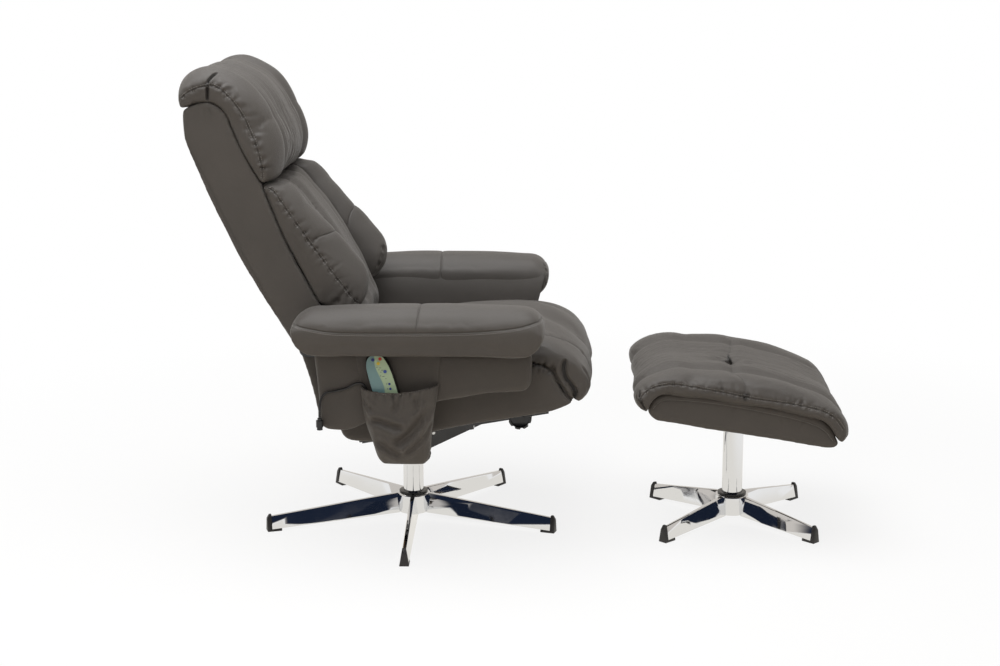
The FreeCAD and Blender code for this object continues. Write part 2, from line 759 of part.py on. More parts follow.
def pocket_bag():
    """Sewn bag, open at the top, with its edges on the back sheet."""
    solids = []
    for inset in (0, pocket_sheet):
        wires = []
        for height, left, right, depth in bag_shares:
            z = pocket_low_z + height * pocket_height + (pocket_sheet if inset and not height else 0)
            x0 = pocket_left_x + left * pocket_width
            x1 = pocket_left_x + right * pocket_width
            wires.append(bag_section(z, x0, x1, depth * handset_thickness, inset))
        solids.append(Part.makeLoft(wires, True, False))
    bag = solids[0].cut(solids[1])
    mouth = scaled(mouth_shares, pocket_left_x, pocket_low_z, pocket_width, pocket_height)
    top = pocket_low_z + pocket_height
    a, b, c = [vec(x, 0, z) for x, z in mouth]
    edges = [
        Part.Arc(a, b, c).toShape(),
        Part.LineSegment(c, vec(c.x, 0, top)).toShape(),
        Part.LineSegment(vec(c.x, 0, top), vec(a.x, 0, top)).toShape(),
        Part.LineSegment(vec(a.x, 0, top), a).toShape(),
    ]
    above = Part.Face(Part.Wire(edges)).extrude(vec(0, 2 * sheet_face_y, 0))
    return bag.cut(above)


handset_back_y = sheet_face_y - handset_rest_gap
handset_face_y = handset_back_y - handset_thickness


def tilted(shape):
    """Puts a piece built upright at the handset's lower end in the handset's place."""
    turned = shape.copy()
    turned.rotate(vec(0, 0, 0), vec(0, 1, 0), -handset_angle)
    turned.translate(vec(handset_x, 0, handset_z))
    return turned


def handset_case():
    full = scaled(handset_shares, 0, 0, handset_width, handset_length)
    middle_y = (handset_face_y + handset_back_y) / 2
    seam = about_middle(full, case_edge_share, case_edge_share)
    case = pad(seam, full, case_swell_shares, middle_y, handset_thickness / 2)
    case = case.cut(face_plate_blank(face_thickness))
    for radius, u, v in key_shares.values():
        well = across(
            radius + key_gap, handset_face_y - overrun, handset_face_y + face_thickness + key_depth,
            u * handset_width, v * handset_length)
        case = case.cut(well)
    return tilted(case)


def about_middle(points, width_share, length_share):
    """Handset outline drawn in about its middle."""
    middle = handset_length / 2
    return [(x * width_share, middle + (z - middle) * length_share) for x, z in points]


def face_plate_blank(depth):
    full = scaled(handset_shares, 0, 0, handset_width, handset_length)
    points = about_middle(full, face_width_share, face_length_share)
    return prism(points, handset_face_y - face_proud, handset_face_y + depth)


def handset_face_plate():
    plate = face_plate_blank(face_thickness)
    for radius, u, v in key_shares.values():
        hole = across(
            radius + key_gap, handset_face_y - overrun, handset_face_y + overrun,
            u * handset_width, v * handset_length)
        plate = plate.cut(hole)
    return tilted(plate)


def handset_key(radius, u, v):
    """Key cap, proud of the face, with its travel free below it."""
    front = handset_face_y - face_proud - key_proud
    rear = handset_face_y + face_thickness + key_depth - key_travel - seat_gap
    return tilted(across(radius, front, rear, u * handset_width, v * handset_length))


def cord_strain_relief():
    middle_y = (handset_back_y + handset_face_y) / 2
    low = min(v for u, v in handset_shares) * handset_length - relief_length
    tip = vec(0, middle_y, low)
    cone = Part.makeCone(relief_tip_radius, relief_root_radius, relief_length + overrun, tip)
    return tilted(cone).cut(handset_case())


def cord_path(points):
    """Straight runs joined by tangent arcs, each as large as its two runs allow."""
    edges = []
    radii = []
    start = points[0]
    for before, corner, after in zip(points, points[1:], points[2:]):
        u = (before - corner).normalize()
        v = (after - corner).normalize()
        half_turn = (math.pi - u.getAngle(v)) / 2
        cut = cord_arc_share * min((corner - before).Length, (after - corner).Length)
        radius = cut / math.tan(half_turn)
        radii.append(round(radius, 1))
        first = corner + u * cut
        last = corner + v * cut
        bisector = (u + v).normalize()
        middle = corner + bisector * (radius / math.cos(half_turn) - radius)
        edges.append(Part.LineSegment(start, first).toShape())
        edges.append(Part.Arc(first, middle, last).toShape())
        start = last
    edges.append(Part.LineSegment(start, points[-1]).toShape())
    print("lead arc radii", radii)
    return Part.Wire(edges)


cord_arc_share = 0.45


def handset_cord():
    points = [vec(*p) for p in cord_points]
    path = cord_path(points)
    section = Part.Wire([Part.Circle(points[0], points[1] - points[0], cord_radius).toShape()])
    cord = path.makePipeShell([section], True, False)
    print("lead length", round(path.Length, 1))
    return cord


def cord_plug():
    """Moulded neck and grip with a metal barrel, hanging from the end of the lead."""
    x, y, z = cord_points[-1]
    neck = Part.makeCylinder(plug_neck_radius, plug_neck_length, vec(x, y, z - plug_neck_length))
    grip_low = z - plug_neck_length - plug_length
    grip = Part.makeCylinder(plug_radius, plug_length, vec(x, y, grip_low))
    barrel_low = grip_low - plug_barrel_length
    barrel = Part.makeCylinder(plug_barrel_radius, plug_barrel_length, vec(x, y, barrel_low))
    return neck.fuse([grip, barrel])


def pocket_pieces():
    pieces = {
        "pocket_back_sheet": pocket_back_sheet(),
        "pocket_bag": pocket_bag(),
        "handset_case": handset_case(),
        "handset_face_plate": handset_face_plate(),
        "cord_strain_relief": cord_strain_relief(),
        "handset_cord": handset_cord(),
        "cord_plug": cord_plug(),
    }
    for name, (radius, u, v) in key_shares.items():
        pieces[name] = handset_key(radius, u, v)
    return {name: (shape, chair_place) for name, shape in pieces.items()}


# Back

def back_points(shares):
    return scaled(shares, pivot_x, pivot_z, back_rake, back_height)


def back_boards():
    points = back_points(back_board_shares)
    inner = shell_half_width - board_thickness
    board = prism(points, inner, shell_half_width)
    hole = across(pivot_bolt_radius, inner - overrun, shell_half_width + overrun, pivot_x, pivot_z)
    board = board.cut(hole)
    return Part.makeCompound([board, mirrored(board)])


board_inner_y = shell_half_width - board_thickness


def rear_line():
    """The back's rear edge from the top down, as arc points."""
    return back_points(back_board_shares[14:] + back_board_shares[:1])


def rear_panel():
    return sheet(rear_line(), (rear_panel_thickness, 0), board_inner_y)


def back_webbing():
    run = back_points(back_board_shares[4:9])
    return sheet(run, (-webbing_thickness, 0), board_inner_y)


def rear_x(z):
    """X of the rear edge at one height, along the chords of its outline."""
    line = rear_line()[::-1]
    for (x0, z0), (x1, z1) in zip(line, line[1:]):
        if z0 <= z <= z1:
            return x0 + (x1 - x0) * (z - z0) / (z1 - z0)
    return line[-1][0]


back_bar_shares = [0.4, 0.86]
back_bar_height = 50.0
bar_inset = 4.0


def back_crossbars():
    bars = []
    start = rear_panel_thickness + bar_inset
    lows = [pivot_z + share * back_height for share in back_bar_shares]
    for z0 in [link_z + link_ear_height + bar_inset] + lows:
        z1 = z0 + back_bar_height
        corners = [
            (rear_x(z0) + start, z0), (rear_x(z0) + start + back_bar_depth, z0),
            (rear_x(z1) + start + back_bar_depth, z1), (rear_x(z1) + start, z1),
        ]
        wire = Part.makePolygon([vec(x, -board_inner_y, z) for x, z in corners + corners[:1]])
        bars.append(Part.Face(wire).extrude(vec(0, 2 * board_inner_y, 0)))
    return Part.makeCompound(bars)


def pivot_bolts():
    """Shoulder bolt on each side: head inside the board, nut outside the ear."""
    outer = plate_inner_y + side_sheet + pivot_washer_gap
    head = across(pivot_head_radius, board_inner_y - pivot_head, board_inner_y, pivot_x, pivot_z)
    shank = across(pivot_bolt_radius, board_inner_y, outer, pivot_x, pivot_z)
    washer = across(pivot_head_radius, shell_half_width, plate_inner_y - pivot_washer_gap, pivot_x, pivot_z)
    nut = across(pivot_head_radius, outer, outer + pivot_nut, pivot_x, pivot_z)
    bolt = head.fuse([shank, washer, nut]).removeSplitter()
    return Part.makeCompound([bolt, mirrored(bolt)])


def link_ears():
    """Ear on each board with the pin that drives the seat."""
    y0 = board_inner_y - link_ear_thickness
    ear = across(link_ear_radius, y0, board_inner_y, link_x, link_z)
    tail_x = rear_x(link_z) + rear_panel_thickness + bar_inset
    strap = block(vec(tail_x, y0, link_z), vec(link_x, board_inner_y, link_z + link_ear_height))
    pin_start = link_plate_y - link_plate_thickness / 2 - link_pin_overhang
    pin = across(link_pin_radius, pin_start, y0, link_x, link_z)
    whole = ear.fuse([strap, pin]).removeSplitter()
    return Part.makeCompound([whole, mirrored(whole)])


def motor_on(run, place, side):
    """Round vibration motor lying against the rear of an arc, at a share of the arc's length."""
    arc = Part.Arc(*[vec(x, 0, z) for x, z in run]).toShape()
    at = arc.FirstParameter + (arc.LastParameter - arc.FirstParameter) * place
    tangent = arc.tangentAt(at)
    away = tangent.cross(vec(0, side, 0))
    start = arc.valueAt(at) + away * seat_gap
    return start, away


def back_motors():
    run = back_points(back_board_shares[6:9])
    made = []
    for place in (0.22, 0.72):
        start, away = motor_on(run, place, 1)
        if away.x > 0:
            away = away * -1
        start = start + away * (webbing_thickness + 2 * seat_gap)
        for y in (-motor_y, motor_y):
            made.append(Part.makeCylinder(motor_radius, motor_height, start + vec(0, y, 0), away))
    return Part.makeCompound(made)


def back_body():
    center_half_width = shell_half_width - bolster_width
    head = pad(
        back_points(head_seam_shares), back_points(head_crown_shares), head_swell_shares, 0,
        shell_half_width + head_overhang)
    center = pad(
        back_points(center_seam_shares), back_points(center_crown_shares), center_swell_shares, 0,
        center_half_width)
    start = center_half_width + cushion_gap
    bolster = pad(
        back_points(bolster_seam_shares), back_points(bolster_crown_shares), bolster_swell_shares,
        start, shell_half_width - start)
    pieces = {
        "back_boards": back_boards(),
        "back_rear_panel": rear_panel(),
        "back_crossbars": back_crossbars(),
        "back_webbing": back_webbing(),
        "back_center_cushion": center,
        "back_bolster_left": bolster,
        "back_bolster_right": mirrored(bolster),
        "head_cushion": head,
        "back_motors": back_motors(),
        "pivot_bolts": pivot_bolts(),
        "link_ears": link_ears(),
    }
    return {name: (shape, chair_place) for name, shape in pieces.items()}


# Seat

def seat_points(shares):
    return scaled(shares, seat_rear_x, seat_low_z, seat_depth, seat_height)


def seat_sides():
    board = prism(seat_points(seat_box_shares), board_inner_y, shell_half_width)
    return Part.makeCompound([board, mirrored(board)])


def seat_end_rails():
    core = prism(seat_points(seat_box_shares), -board_inner_y, board_inner_y)
    high = seat_low_z + seat_height
    front_x = seat_rear_x + seat_depth
    rear = block(
        vec(seat_rear_x, -shell_half_width, 0),
        vec(seat_rear_x + end_rail_rear_depth, shell_half_width, high))
    front = block(
        vec(front_x - end_rail_front_depth, -shell_half_width, 0), vec(front_x, shell_half_width, high))
    return Part.makeCompound([core.common(rear), core.common(front)])


def deck_line():
    """Top edge of the seat box, from its rear to its front."""
    points = seat_points(seat_box_shares)
    return points[-2], points[-4]


def seat_webbing():
    (x0, z0), (x1, z1) = deck_line()
    corners = [(x0, z0), (x1, z1), (x1, z1 + webbing_thickness), (x0, z0 + webbing_thickness)]
    wire = Part.makePolygon([vec(x, -shell_half_width, z) for x, z in corners + corners[:1]])
    return Part.Face(wire).extrude(vec(0, 2 * shell_half_width, 0))


def seat_motors():
    (x0, z0), (x1, z1) = deck_line()
    down = vec(z1 - z0, 0, x0 - x1).normalize()
    made = []
    for place in (0.3, 0.7):
        start = vec(x0 + (x1 - x0) * place, 0, z0 + (z1 - z0) * place) + down * seat_gap
        for y in (-motor_y, motor_y):
            made.append(Part.makeCylinder(motor_radius, motor_height, start + vec(0, y, 0), down))
    return Part.makeCompound(made)


runner_top = crossbar_thickness + rail_height + runner_gap + runner_sheet
batten_places = (-60.0, 75.0, 185.0)


def seat_battens():
    made = []
    for s in batten_places:
        half = batten_width / 2
        batten = block(
            vec(s - half, -board_inner_y, runner_top),
            vec(s + half, board_inner_y, runner_top + batten_height))
        made.append(sloped(batten))
    return Part.makeCompound(made)


def seat_runners():
    """Channel that slides over each rail; the right-hand one is drilled for the clamp stem."""
    half = rail_width / 2 + runner_gap
    outer = block(
        vec(runner_start, -half - runner_sheet, runner_low),
        vec(runner_end, half + runner_sheet, runner_top))
    inner = block(
        vec(runner_start - overrun, -half, runner_low - overrun),
        vec(runner_end + overrun, half, runner_top - runner_sheet))
    channel = outer.cut(inner)
    left = channel.copy()
    left.translate(vec(0, rail_y, 0))
    right = channel.copy()
    right.translate(vec(0, -rail_y, 0))
    middle = crossbar_thickness + rail_height / 2
    right = right.cut(across(
        knob_stem_radius + running_gap, -rail_y - rail_width, -rail_y + rail_width, knob_s, middle))
    return Part.makeCompound([sloped(left), sloped(right)])


def slide_place(x, z):
    """Distance along and above the slide's origin of a point given in X and Z."""
    angle = math.radians(slide_angle)
    rise = z - slide_base_z
    return x * math.cos(angle) + rise * math.sin(angle), rise * math.cos(angle) - x * math.sin(angle)


def link_plates():
    """Slotted plate at each side of the rear rail, around the back's link pin."""
    s, n = slide_place(link_x, link_z)
    reach = math.radians(recline_angle)
    arm_s, arm_n = slide_place(link_x - pivot_x, link_z - pivot_z + slide_base_z)
    lift = arm_n * math.cos(reach) + arm_s * math.sin(reach) - arm_n
    half = link_pin_radius + link_slot_side_gap
    low = n
    high = n + lift
    y0 = link_plate_y - link_plate_thickness / 2
    y1 = link_plate_y + link_plate_thickness / 2
    end = half + link_slot_end_gap
    slot = block(
        vec(s - half, y0 - overrun, low - link_slot_end_gap),
        vec(s + half, y1 + overrun, high + link_slot_end_gap))
    for level in (low - link_slot_end_gap, high + link_slot_end_gap):
        slot = slot.fuse(across(half, y0 - overrun, y1 + overrun, s, level))
    body = block(
        vec(s - half - link_plate_wall, y0, low - end - link_plate_wall),
        vec(s + batten_width, y1, high + end + link_plate_wall))
    plate = sloped(body.cut(slot))
    rail_face = seat_points(seat_box_shares)[-1][0]
    beyond = block(
        vec(rail_face, y0 - overrun, 0),
        vec(rail_face + 2 * batten_width, y1 + overrun, arm_low_z))
    plate = plate.cut(beyond)
    return Part.makeCompound([plate, mirrored(plate)])


def clamp_nut():
    middle = crossbar_thickness + rail_height / 2
    low = -rail_y + rail_width / 2 + runner_gap + runner_sheet
    nut = across(clamp_nut_radius, low, low + clamp_nut_height, knob_s, middle)
    bore = across(knob_stem_radius + running_gap, low - overrun, low + 2 * clamp_nut_height, knob_s, middle)
    return sloped(nut.cut(bore))


def lock_knob():
    """Hand wheel with lobes, a dished face and a stem that runs through the rail."""
    middle = crossbar_thickness + rail_height / 2
    runner_face = -rail_y - rail_width / 2 - runner_gap - runner_sheet - seat_gap
    back = runner_face - knob_boss
    front = back - knob_height
    wheel = across(knob_radius, front, back, 0, 0)
    wheel = wheel.makeChamfer(knob_rim / 2, [e for e in wheel.Edges if len(e.Vertexes) == 1])
    for i in range(knob_lobes):
        angle = 2 * math.pi * i / knob_lobes
        flute = across(
            knob_lobe_radius, front - overrun, back + overrun,
            knob_radius * math.cos(angle), knob_radius * math.sin(angle))
        wheel = wheel.cut(flute)
    dish = across(knob_radius - knob_rim, front - overrun, front + knob_dish_depth, 0, 0)
    wheel = wheel.cut(dish.cut(across(knob_boss_radius, front, front + knob_dish_depth, 0, 0)))
    boss = across(knob_boss_radius, back, runner_face, 0, 0)
    nut_face = -rail_y + rail_width / 2 + runner_gap + runner_sheet + clamp_nut_height
    stem = across(knob_stem_radius, runner_face, nut_face, 0, 0)
    knob = wheel.fuse([boss, stem]).removeSplitter()
    knob.translate(vec(knob_s, 0, middle))
    return sloped(knob)


def seat_body():
    cushion = pad(
        seat_points(seat_seam_shares), seat_points(seat_crown_shares), seat_swell_shares, 0,
        shell_half_width - seat_cushion_inset)
    pieces = {
        "seat_sides": seat_sides(),
        "seat_end_rails": seat_end_rails(),
        "seat_webbing": seat_webbing(),
        "seat_motors": seat_motors(),
        "seat_battens": seat_battens(),
        "seat_runners": seat_runners(),
        "link_plates": link_plates(),
        "clamp_nut": clamp_nut(),
        "lock_knob": lock_knob(),
        "seat_cushion": cushion,
    }
    return {name: (shape, chair_place) for name, shape in pieces.items()}


# Footstool top

def stool_points(shares):
    return scaled(shares, stool_rear_x, stool_low_z, stool_depth, stool_height)


def stool_lean():
    """Angle and height at the axis of the frame's flat underside."""
    points = stool_points(stool_box_shares)
    (x1, z1), (x0, z0) = points[10], points[12]
    return math.degrees(math.atan2(z0 - z1, x1 - x0)), z0 + (z1 - z0) * (0 - x0) / (x1 - x0)


def leaned(shape):
    angle, z = stool_lean()
    turned = shape.copy()
    turned.rotate(vec(0, 0, 0), vec(0, 1, 0), angle)
    turned.translate(vec(0, 0, z))
    return turned


def stool_frame():
    """Leather-covered box frame, hollow above its floor."""
    points = stool_points(stool_box_shares)
    outer = prism(points, -stool_half_width, stool_half_width)
    inner = outer
    for x, y, z in ((1, 1, 1), (-1, -1, 1), (1, -1, -1), (-1, 1, -1)):
        moved = outer.copy()
        moved.translate(vec(x, y, z) * stool_wall)
        inner = inner.common(moved)
    return outer.cut(inner)


def stool_body():
    size = stool_plate_size
    plate = bolted_plate(size, -plate_thickness)
    column = tube(column_radius, column_radius - column_wall, column_low, stool_low_z + stool_height)
    above = leaned(block(
        vec(-stool_depth, -stool_depth, -plate_thickness), vec(stool_depth, stool_depth, stool_depth)))
    cushion = pad(
        stool_points(stool_seam_shares), stool_points(stool_crown_shares), stool_swell_shares,
        0, stool_cushion_half_width)
    pieces = {
        "stool_column": column.cut(above),
        "stool_plate": leaned(plate),
        "stool_screws": leaned(bolts(size, -plate_thickness, 0, bolt_head)),
        "stool_frame": stool_frame(),
        "stool_cushion": cushion,
    }
    return {name: (shape, stool_place) for name, shape in pieces.items()}


def main():
    os.makedirs("parts", exist_ok=True)
    nodes = {}
    for group in (floor_bases, carrier, pocket_pieces, back_body, seat_body, stool_body):
        nodes.update(group())
    for name, (shape, place) in nodes.items():
        placed = shape.copy()
        placed.translate(place)
        if not placed.isValid():
            print("not valid:", name)
        placed.exportStep("parts/" + name + ".step")
    print(len(nodes), "nodes")


main()
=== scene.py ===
"""Reflexology chair with its footstool: a recliner and a stool in dark grey leather on chromed star bases.

Metres, +Z up, floor at Z = 0. The chair faces +X and its right side, with the handset pocket, faces -Y.
"""
import json
import math

import bmesh
import bpy
import numpy as np
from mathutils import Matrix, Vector
from mathutils.bvhtree import BVHTree

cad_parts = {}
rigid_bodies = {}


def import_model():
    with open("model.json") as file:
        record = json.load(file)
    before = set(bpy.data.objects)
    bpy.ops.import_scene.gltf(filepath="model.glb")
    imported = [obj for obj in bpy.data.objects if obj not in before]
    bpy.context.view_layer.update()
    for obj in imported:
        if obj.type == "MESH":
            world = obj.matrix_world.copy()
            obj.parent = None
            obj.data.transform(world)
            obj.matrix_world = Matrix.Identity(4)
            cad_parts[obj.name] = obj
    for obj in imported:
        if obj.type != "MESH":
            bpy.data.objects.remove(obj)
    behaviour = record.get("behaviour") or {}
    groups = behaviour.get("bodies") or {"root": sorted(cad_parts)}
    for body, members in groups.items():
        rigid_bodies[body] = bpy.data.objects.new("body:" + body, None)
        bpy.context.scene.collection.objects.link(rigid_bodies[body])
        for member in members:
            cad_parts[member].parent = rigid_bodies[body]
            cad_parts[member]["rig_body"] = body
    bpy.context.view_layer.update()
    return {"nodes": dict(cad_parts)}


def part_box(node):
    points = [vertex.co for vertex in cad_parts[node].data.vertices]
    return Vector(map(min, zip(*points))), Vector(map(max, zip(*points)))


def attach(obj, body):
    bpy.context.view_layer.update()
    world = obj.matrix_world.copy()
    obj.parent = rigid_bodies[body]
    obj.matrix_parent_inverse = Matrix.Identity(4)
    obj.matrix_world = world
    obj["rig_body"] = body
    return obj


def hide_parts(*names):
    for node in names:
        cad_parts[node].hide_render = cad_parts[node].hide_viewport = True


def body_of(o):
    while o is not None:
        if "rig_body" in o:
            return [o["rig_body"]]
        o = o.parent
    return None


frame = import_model()
scene = bpy.context.scene
scene.view_settings.view_transform = "Standard"


# Studio: the photograph's camera, a pale floor, one broad lamp overhead and two softer ones.
# The chrome mirrors a sandy floor that grows pale far off, a warm room, and the dark behind the camera.
# To everything else the floor is a warm surface that lights the object from below.
camera_place = (0.119, -4.047, 1.312)
camera_down = math.radians(12.31)
camera_heading = math.radians(2.28)
camera_lens = 67.51
sensor_width = 36.0
floor_half = 30.0
floor_colour = (0.93, 0.93, 0.93, 1)
floor_white_near = 0.82
floor_middle = (0.1, 0.0, 0.0)
sandy_from, sandy_to = 0.5, 1.3
white_from, white_to = 0.7, 2.2
sand_colour = (0.86, 0.83, 0.77, 1)
pale_colour = (0.97, 0.96, 0.94, 1)
bounce_colour = (0.64, 0.54, 0.43, 1)
white = (1, 1, 1, 1)
room_colour = (0.66, 0.62, 0.57, 1)
dark_colour = (0.012, 0.018, 0.035, 1)
dark_from, dark_to = -0.35, -0.62
horizon_from, horizon_to = -0.04, 0.06
soft_colour = (1.0, 0.96, 0.91, 1)
soft_level = 0.36

camera = bpy.data.objects.new("camera", bpy.data.cameras.new("camera"))
camera.data.lens = camera_lens
camera.data.sensor_width = sensor_width
camera.location = camera_place
camera.rotation_euler = (math.pi / 2 - camera_down, 0, camera_heading)
scene.collection.objects.link(camera)
scene.camera = camera


def tuned(thing, **values):
    """Sets a thing's values by their names."""
    for label, value in values.items():
        setattr(thing, label, value)
    return thing


def join(tree, node, inputs):
    """Gives a node its inputs, by name or number: each a value or another node's socket."""
    for label, value in inputs.items():
        if hasattr(value, "links"):
            tree.links.new(value, node.inputs[label])
        else:
            node.inputs[label].default_value = value
    return node


def add(tree, kind, inputs=None, **settings):
    """A new node with its settings and its inputs."""
    return join(tree, tuned(tree.nodes.new(kind), **settings), inputs or {})


def spread(tree, value, low, high, start=0.0, end=1.0, kind="LINEAR"):
    """The value from start to end becomes low to high."""
    inputs = {"Value": value, "From Min": start, "From Max": end, "To Min": low, "To Max": high}
    return add(tree, "ShaderNodeMapRange", inputs, interpolation_type=kind).outputs[0]


def mixed(tree, factor, a, b, blend="MIX"):
    """Colour that goes from a to b by a factor."""
    inputs = {"Factor": factor, "A": a, "B": b}
    return add(tree, "ShaderNodeMix", inputs, data_type="RGBA", blend_type=blend).outputs["Result"]


def maths(tree, operation, *values):
    return add(tree, "ShaderNodeMath", dict(enumerate(values)), operation=operation).outputs[0]


def either(tree, factor, a, b):
    """Shader a where the factor is 0, shader b where it is 1."""
    return add(tree, "ShaderNodeMixShader", {0: factor, 1: a.outputs[0], 2: b.outputs[0]})


def rays(tree):
    """Whether the camera looks, and whether a mirror or glass does."""
    ray = add(tree, "ShaderNodeLightPath").outputs
    return ray["Is Camera Ray"], maths(tree, "MAXIMUM", ray["Is Glossy Ray"], ray["Is Transmission Ray"])


def object_place(tree):
    return add(tree, "ShaderNodeTexCoord").outputs["Object"]


def new_material(name):
    """Material with its node tree and its Principled shader."""
    material = bpy.data.materials.new(name)
    material.use_nodes = True
    return material, material.node_tree, material.node_tree.nodes["Principled BSDF"]


def mesh_piece(name, vertices, faces, edges=()):
    mesh = bpy.data.meshes.new(name)
    mesh.from_pydata([tuple(v) for v in vertices], edges, faces)
    mesh.update()
    piece = bpy.data.objects.new(name, mesh)
    scene.collection.objects.link(piece)
    return piece


def far_fade(tree, start, end, low, high):
    """A value that goes from low to high between two distances from the middle of the floor."""
    inputs = {0: object_place(tree), 1: floor_middle}
    distance = add(tree, "ShaderNodeVectorMath", inputs, operation="DISTANCE").outputs["Value"]
    return spread(tree, distance, low, high, start, end, "SMOOTHSTEP")


corners = [(-floor_half, -floor_half, 0), (floor_half, -floor_half, 0), (floor_half, floor_half, 0),
           (-floor_half, floor_half, 0)]
floor = mesh_piece("floor", corners, [(0, 1, 2, 3)])
floor_paint, tree, shader = new_material("floor_paint")
join(tree, shader, {"Base Color": floor_colour, "Roughness": 0.9, "Specular IOR Level": 0.1})
floor.data.materials.append(floor_paint)
sandy = mixed(tree, far_fade(tree, sandy_from, sandy_to, 0, 1), sand_colour, pale_colour)
mirrored = add(tree, "ShaderNodeEmission", {"Color": sandy})
plain = add(tree, "ShaderNodeEmission", {"Color": white})
bounce = add(tree, "ShaderNodeBsdfDiffuse", {"Color": bounce_colour})
camera_ray, sharp_ray = rays(tree)
seen = either(tree, far_fade(tree, white_from, white_to, floor_white_near, 1.0), shader, plain)
lit = either(tree, sharp_ray, either(tree, camera_ray, bounce, seen), mirrored)
join(tree, tree.nodes["Material Output"], {"Surface": lit.outputs[0]})


def lamp(name, place, aim, size, power, colour, mirrored=True):
    light = bpy.data.lights.new(name, "AREA")
    tuned(light, shape="RECTANGLE", size=size[0], size_y=size[1], energy=power, color=colour)
    turn = (Vector(aim) - Vector(place)).to_track_quat("-Z", "Y").to_euler()
    holder = bpy.data.objects.new(name, light)
    tuned(holder, location=place, rotation_euler=turn, visible_glossy=mirrored)
    scene.collection.objects.link(holder)


lamp("lamp_over", (-0.45, -0.35, 3.0), (-0.1, 0, 0.4), (3.0, 2.4), 84, (0.97, 0.985, 1.0))
lamp("lamp_front", (2.8, -1.6, 1.6), (0, 0, 0.5), (1.8, 1.6), 1.5, (1.0, 0.99, 0.97), mirrored=False)
lamp("lamp_side", (-0.6, -3.0, 2.2), (0, 0, 0.4), (1.6, 1.6), 20, (1.0, 0.93, 0.84), mirrored=False)

scene.world = bpy.data.worlds.new("studio")
scene.world.use_nodes = True
tree = scene.world.node_tree
tree.nodes.clear()
way = add(tree, "ShaderNodeTexCoord").outputs["Generated"]
parts = add(tree, "ShaderNodeSeparateXYZ", {0: way}).outputs
toward = spread(tree, parts["Y"], 0, 1, dark_from, dark_to, "SMOOTHSTEP")
above = spread(tree, parts["Z"], 0, 1, horizon_from, horizon_to, "SMOOTHSTEP")
room = mixed(tree, maths(tree, "MULTIPLY", toward, above), room_colour, dark_colour)
mirrored = add(tree, "ShaderNodeBackground", {"Color": room})
soft = add(tree, "ShaderNodeBackground", {"Color": soft_colour, "Strength": soft_level})
plain = add(tree, "ShaderNodeBackground", {"Color": white})
camera_ray, sharp_ray = rays(tree)
shown = either(tree, camera_ray, either(tree, sharp_ray, soft, mirrored), plain)
add(tree, "ShaderNodeOutputWorld", {"Surface": shown.outputs[0]})


# Star bases: pressed steel legs of narrow tapered section, welded round a hub cup, polished and chromed.
# Each leg ends in a moulded black cap with a toe that turns under it. Metal and plastic are faintly smeared,
# which changes their gloss, and their sharp edges are eased so that they catch the light.
chrome_colour = (0.8, 0.81, 0.83, 1)
leg_edge_radius = 0.0014
hub_edge_radius = 0.0012
foot_edge_radius = 0.0012
polish_scale = 38
polish_wave = 0.00004
weld_distance = 0.00002
edge_angle = math.radians(28)


def shader_group(name, inputs, outputs):
    """Shader node group with float inputs (name, value) and outputs; returns it with its two ends."""
    group = bpy.data.node_groups.new(name, "ShaderNodeTree")
    for label, value in inputs:
        socket = group.interface.new_socket(label, in_out="INPUT", socket_type="NodeSocketFloat")
        socket.default_value = value
    for label in outputs:
        group.interface.new_socket(label, in_out="OUTPUT", socket_type="NodeSocketFloat")
    return group, add(group, "NodeGroupInput").outputs, add(group, "NodeGroupOutput")


def noise(tree, vector, scale, detail=2.0, roughness=0.5):
    inputs = {"Vector": vector, "Scale": scale, "Detail": detail, "Roughness": roughness}
    return add(tree, "ShaderNodeTexNoise", inputs).outputs["Fac"]


smear, given, result = shader_group("smear", [("Scale", 20), ("Low", 0.05), ("High", 0.12)], ["Roughness"])
cloud = noise(smear, object_place(smear), given["Scale"], 4.0, 0.6)
join(smear, result, {"Roughness": spread(smear, cloud, given["Low"], given["High"], 0.35, 0.7)})


def finished(tree, shader, colour, smears, waves, **more):
    """Sets a shader's colour, its smears (scale, least and most roughness) and its waves (scale, depth).

    The waves are the bump that polishing leaves on metal or a mould on plastic.
    """
    scale, low, high = smears
    rough = add(tree, "ShaderNodeGroup", node_tree=smear)
    join(tree, rough, {"Scale": scale, "Low": low, "High": high})
    bump = add(tree, "ShaderNodeBump", {"Strength": 1.0, "Distance": waves[1],
                                        "Height": noise(tree, object_place(tree), waves[0])})
    join(tree, shader, {"Base Color": colour, "Roughness": rough.outputs[0], "Normal": bump.outputs[0]})
    join(tree, shader, {label.replace("_", " "): value for label, value in more.items()})


def shade(colour, share):
    return (*[c * share for c in colour], 1)


def moulded(name, colour, low, high, grain_scale, grain_depth):
    """Moulded plastic or rubber: smeared gloss over a fine eroded grain, and a little colour drift."""
    material, tree, shader = new_material(name)
    drift = noise(tree, object_place(tree), 60, 3.0)
    tint = mixed(tree, drift, shade(colour, 0.85), shade(colour, 1.15))
    finished(tree, shader, tint, (50, low, high), (grain_scale, grain_depth))
    return material


chrome, tree, shader = new_material("polished_chrome")
finished(tree, shader, chrome_colour, (26, 0.03, 0.07), (polish_scale, polish_wave), Metallic=1.0)
foot_plastic = moulded("foot_plastic", (0.028, 0.028, 0.03), 0.42, 0.55, 1400, 0.00012)
bush_plastic = moulded("bush_plastic", (0.012, 0.012, 0.013), 0.22, 0.34, 900, 0.00006)
washer_nylon = moulded("washer_nylon", (0.72, 0.7, 0.64), 0.35, 0.5, 600, 0.00008)


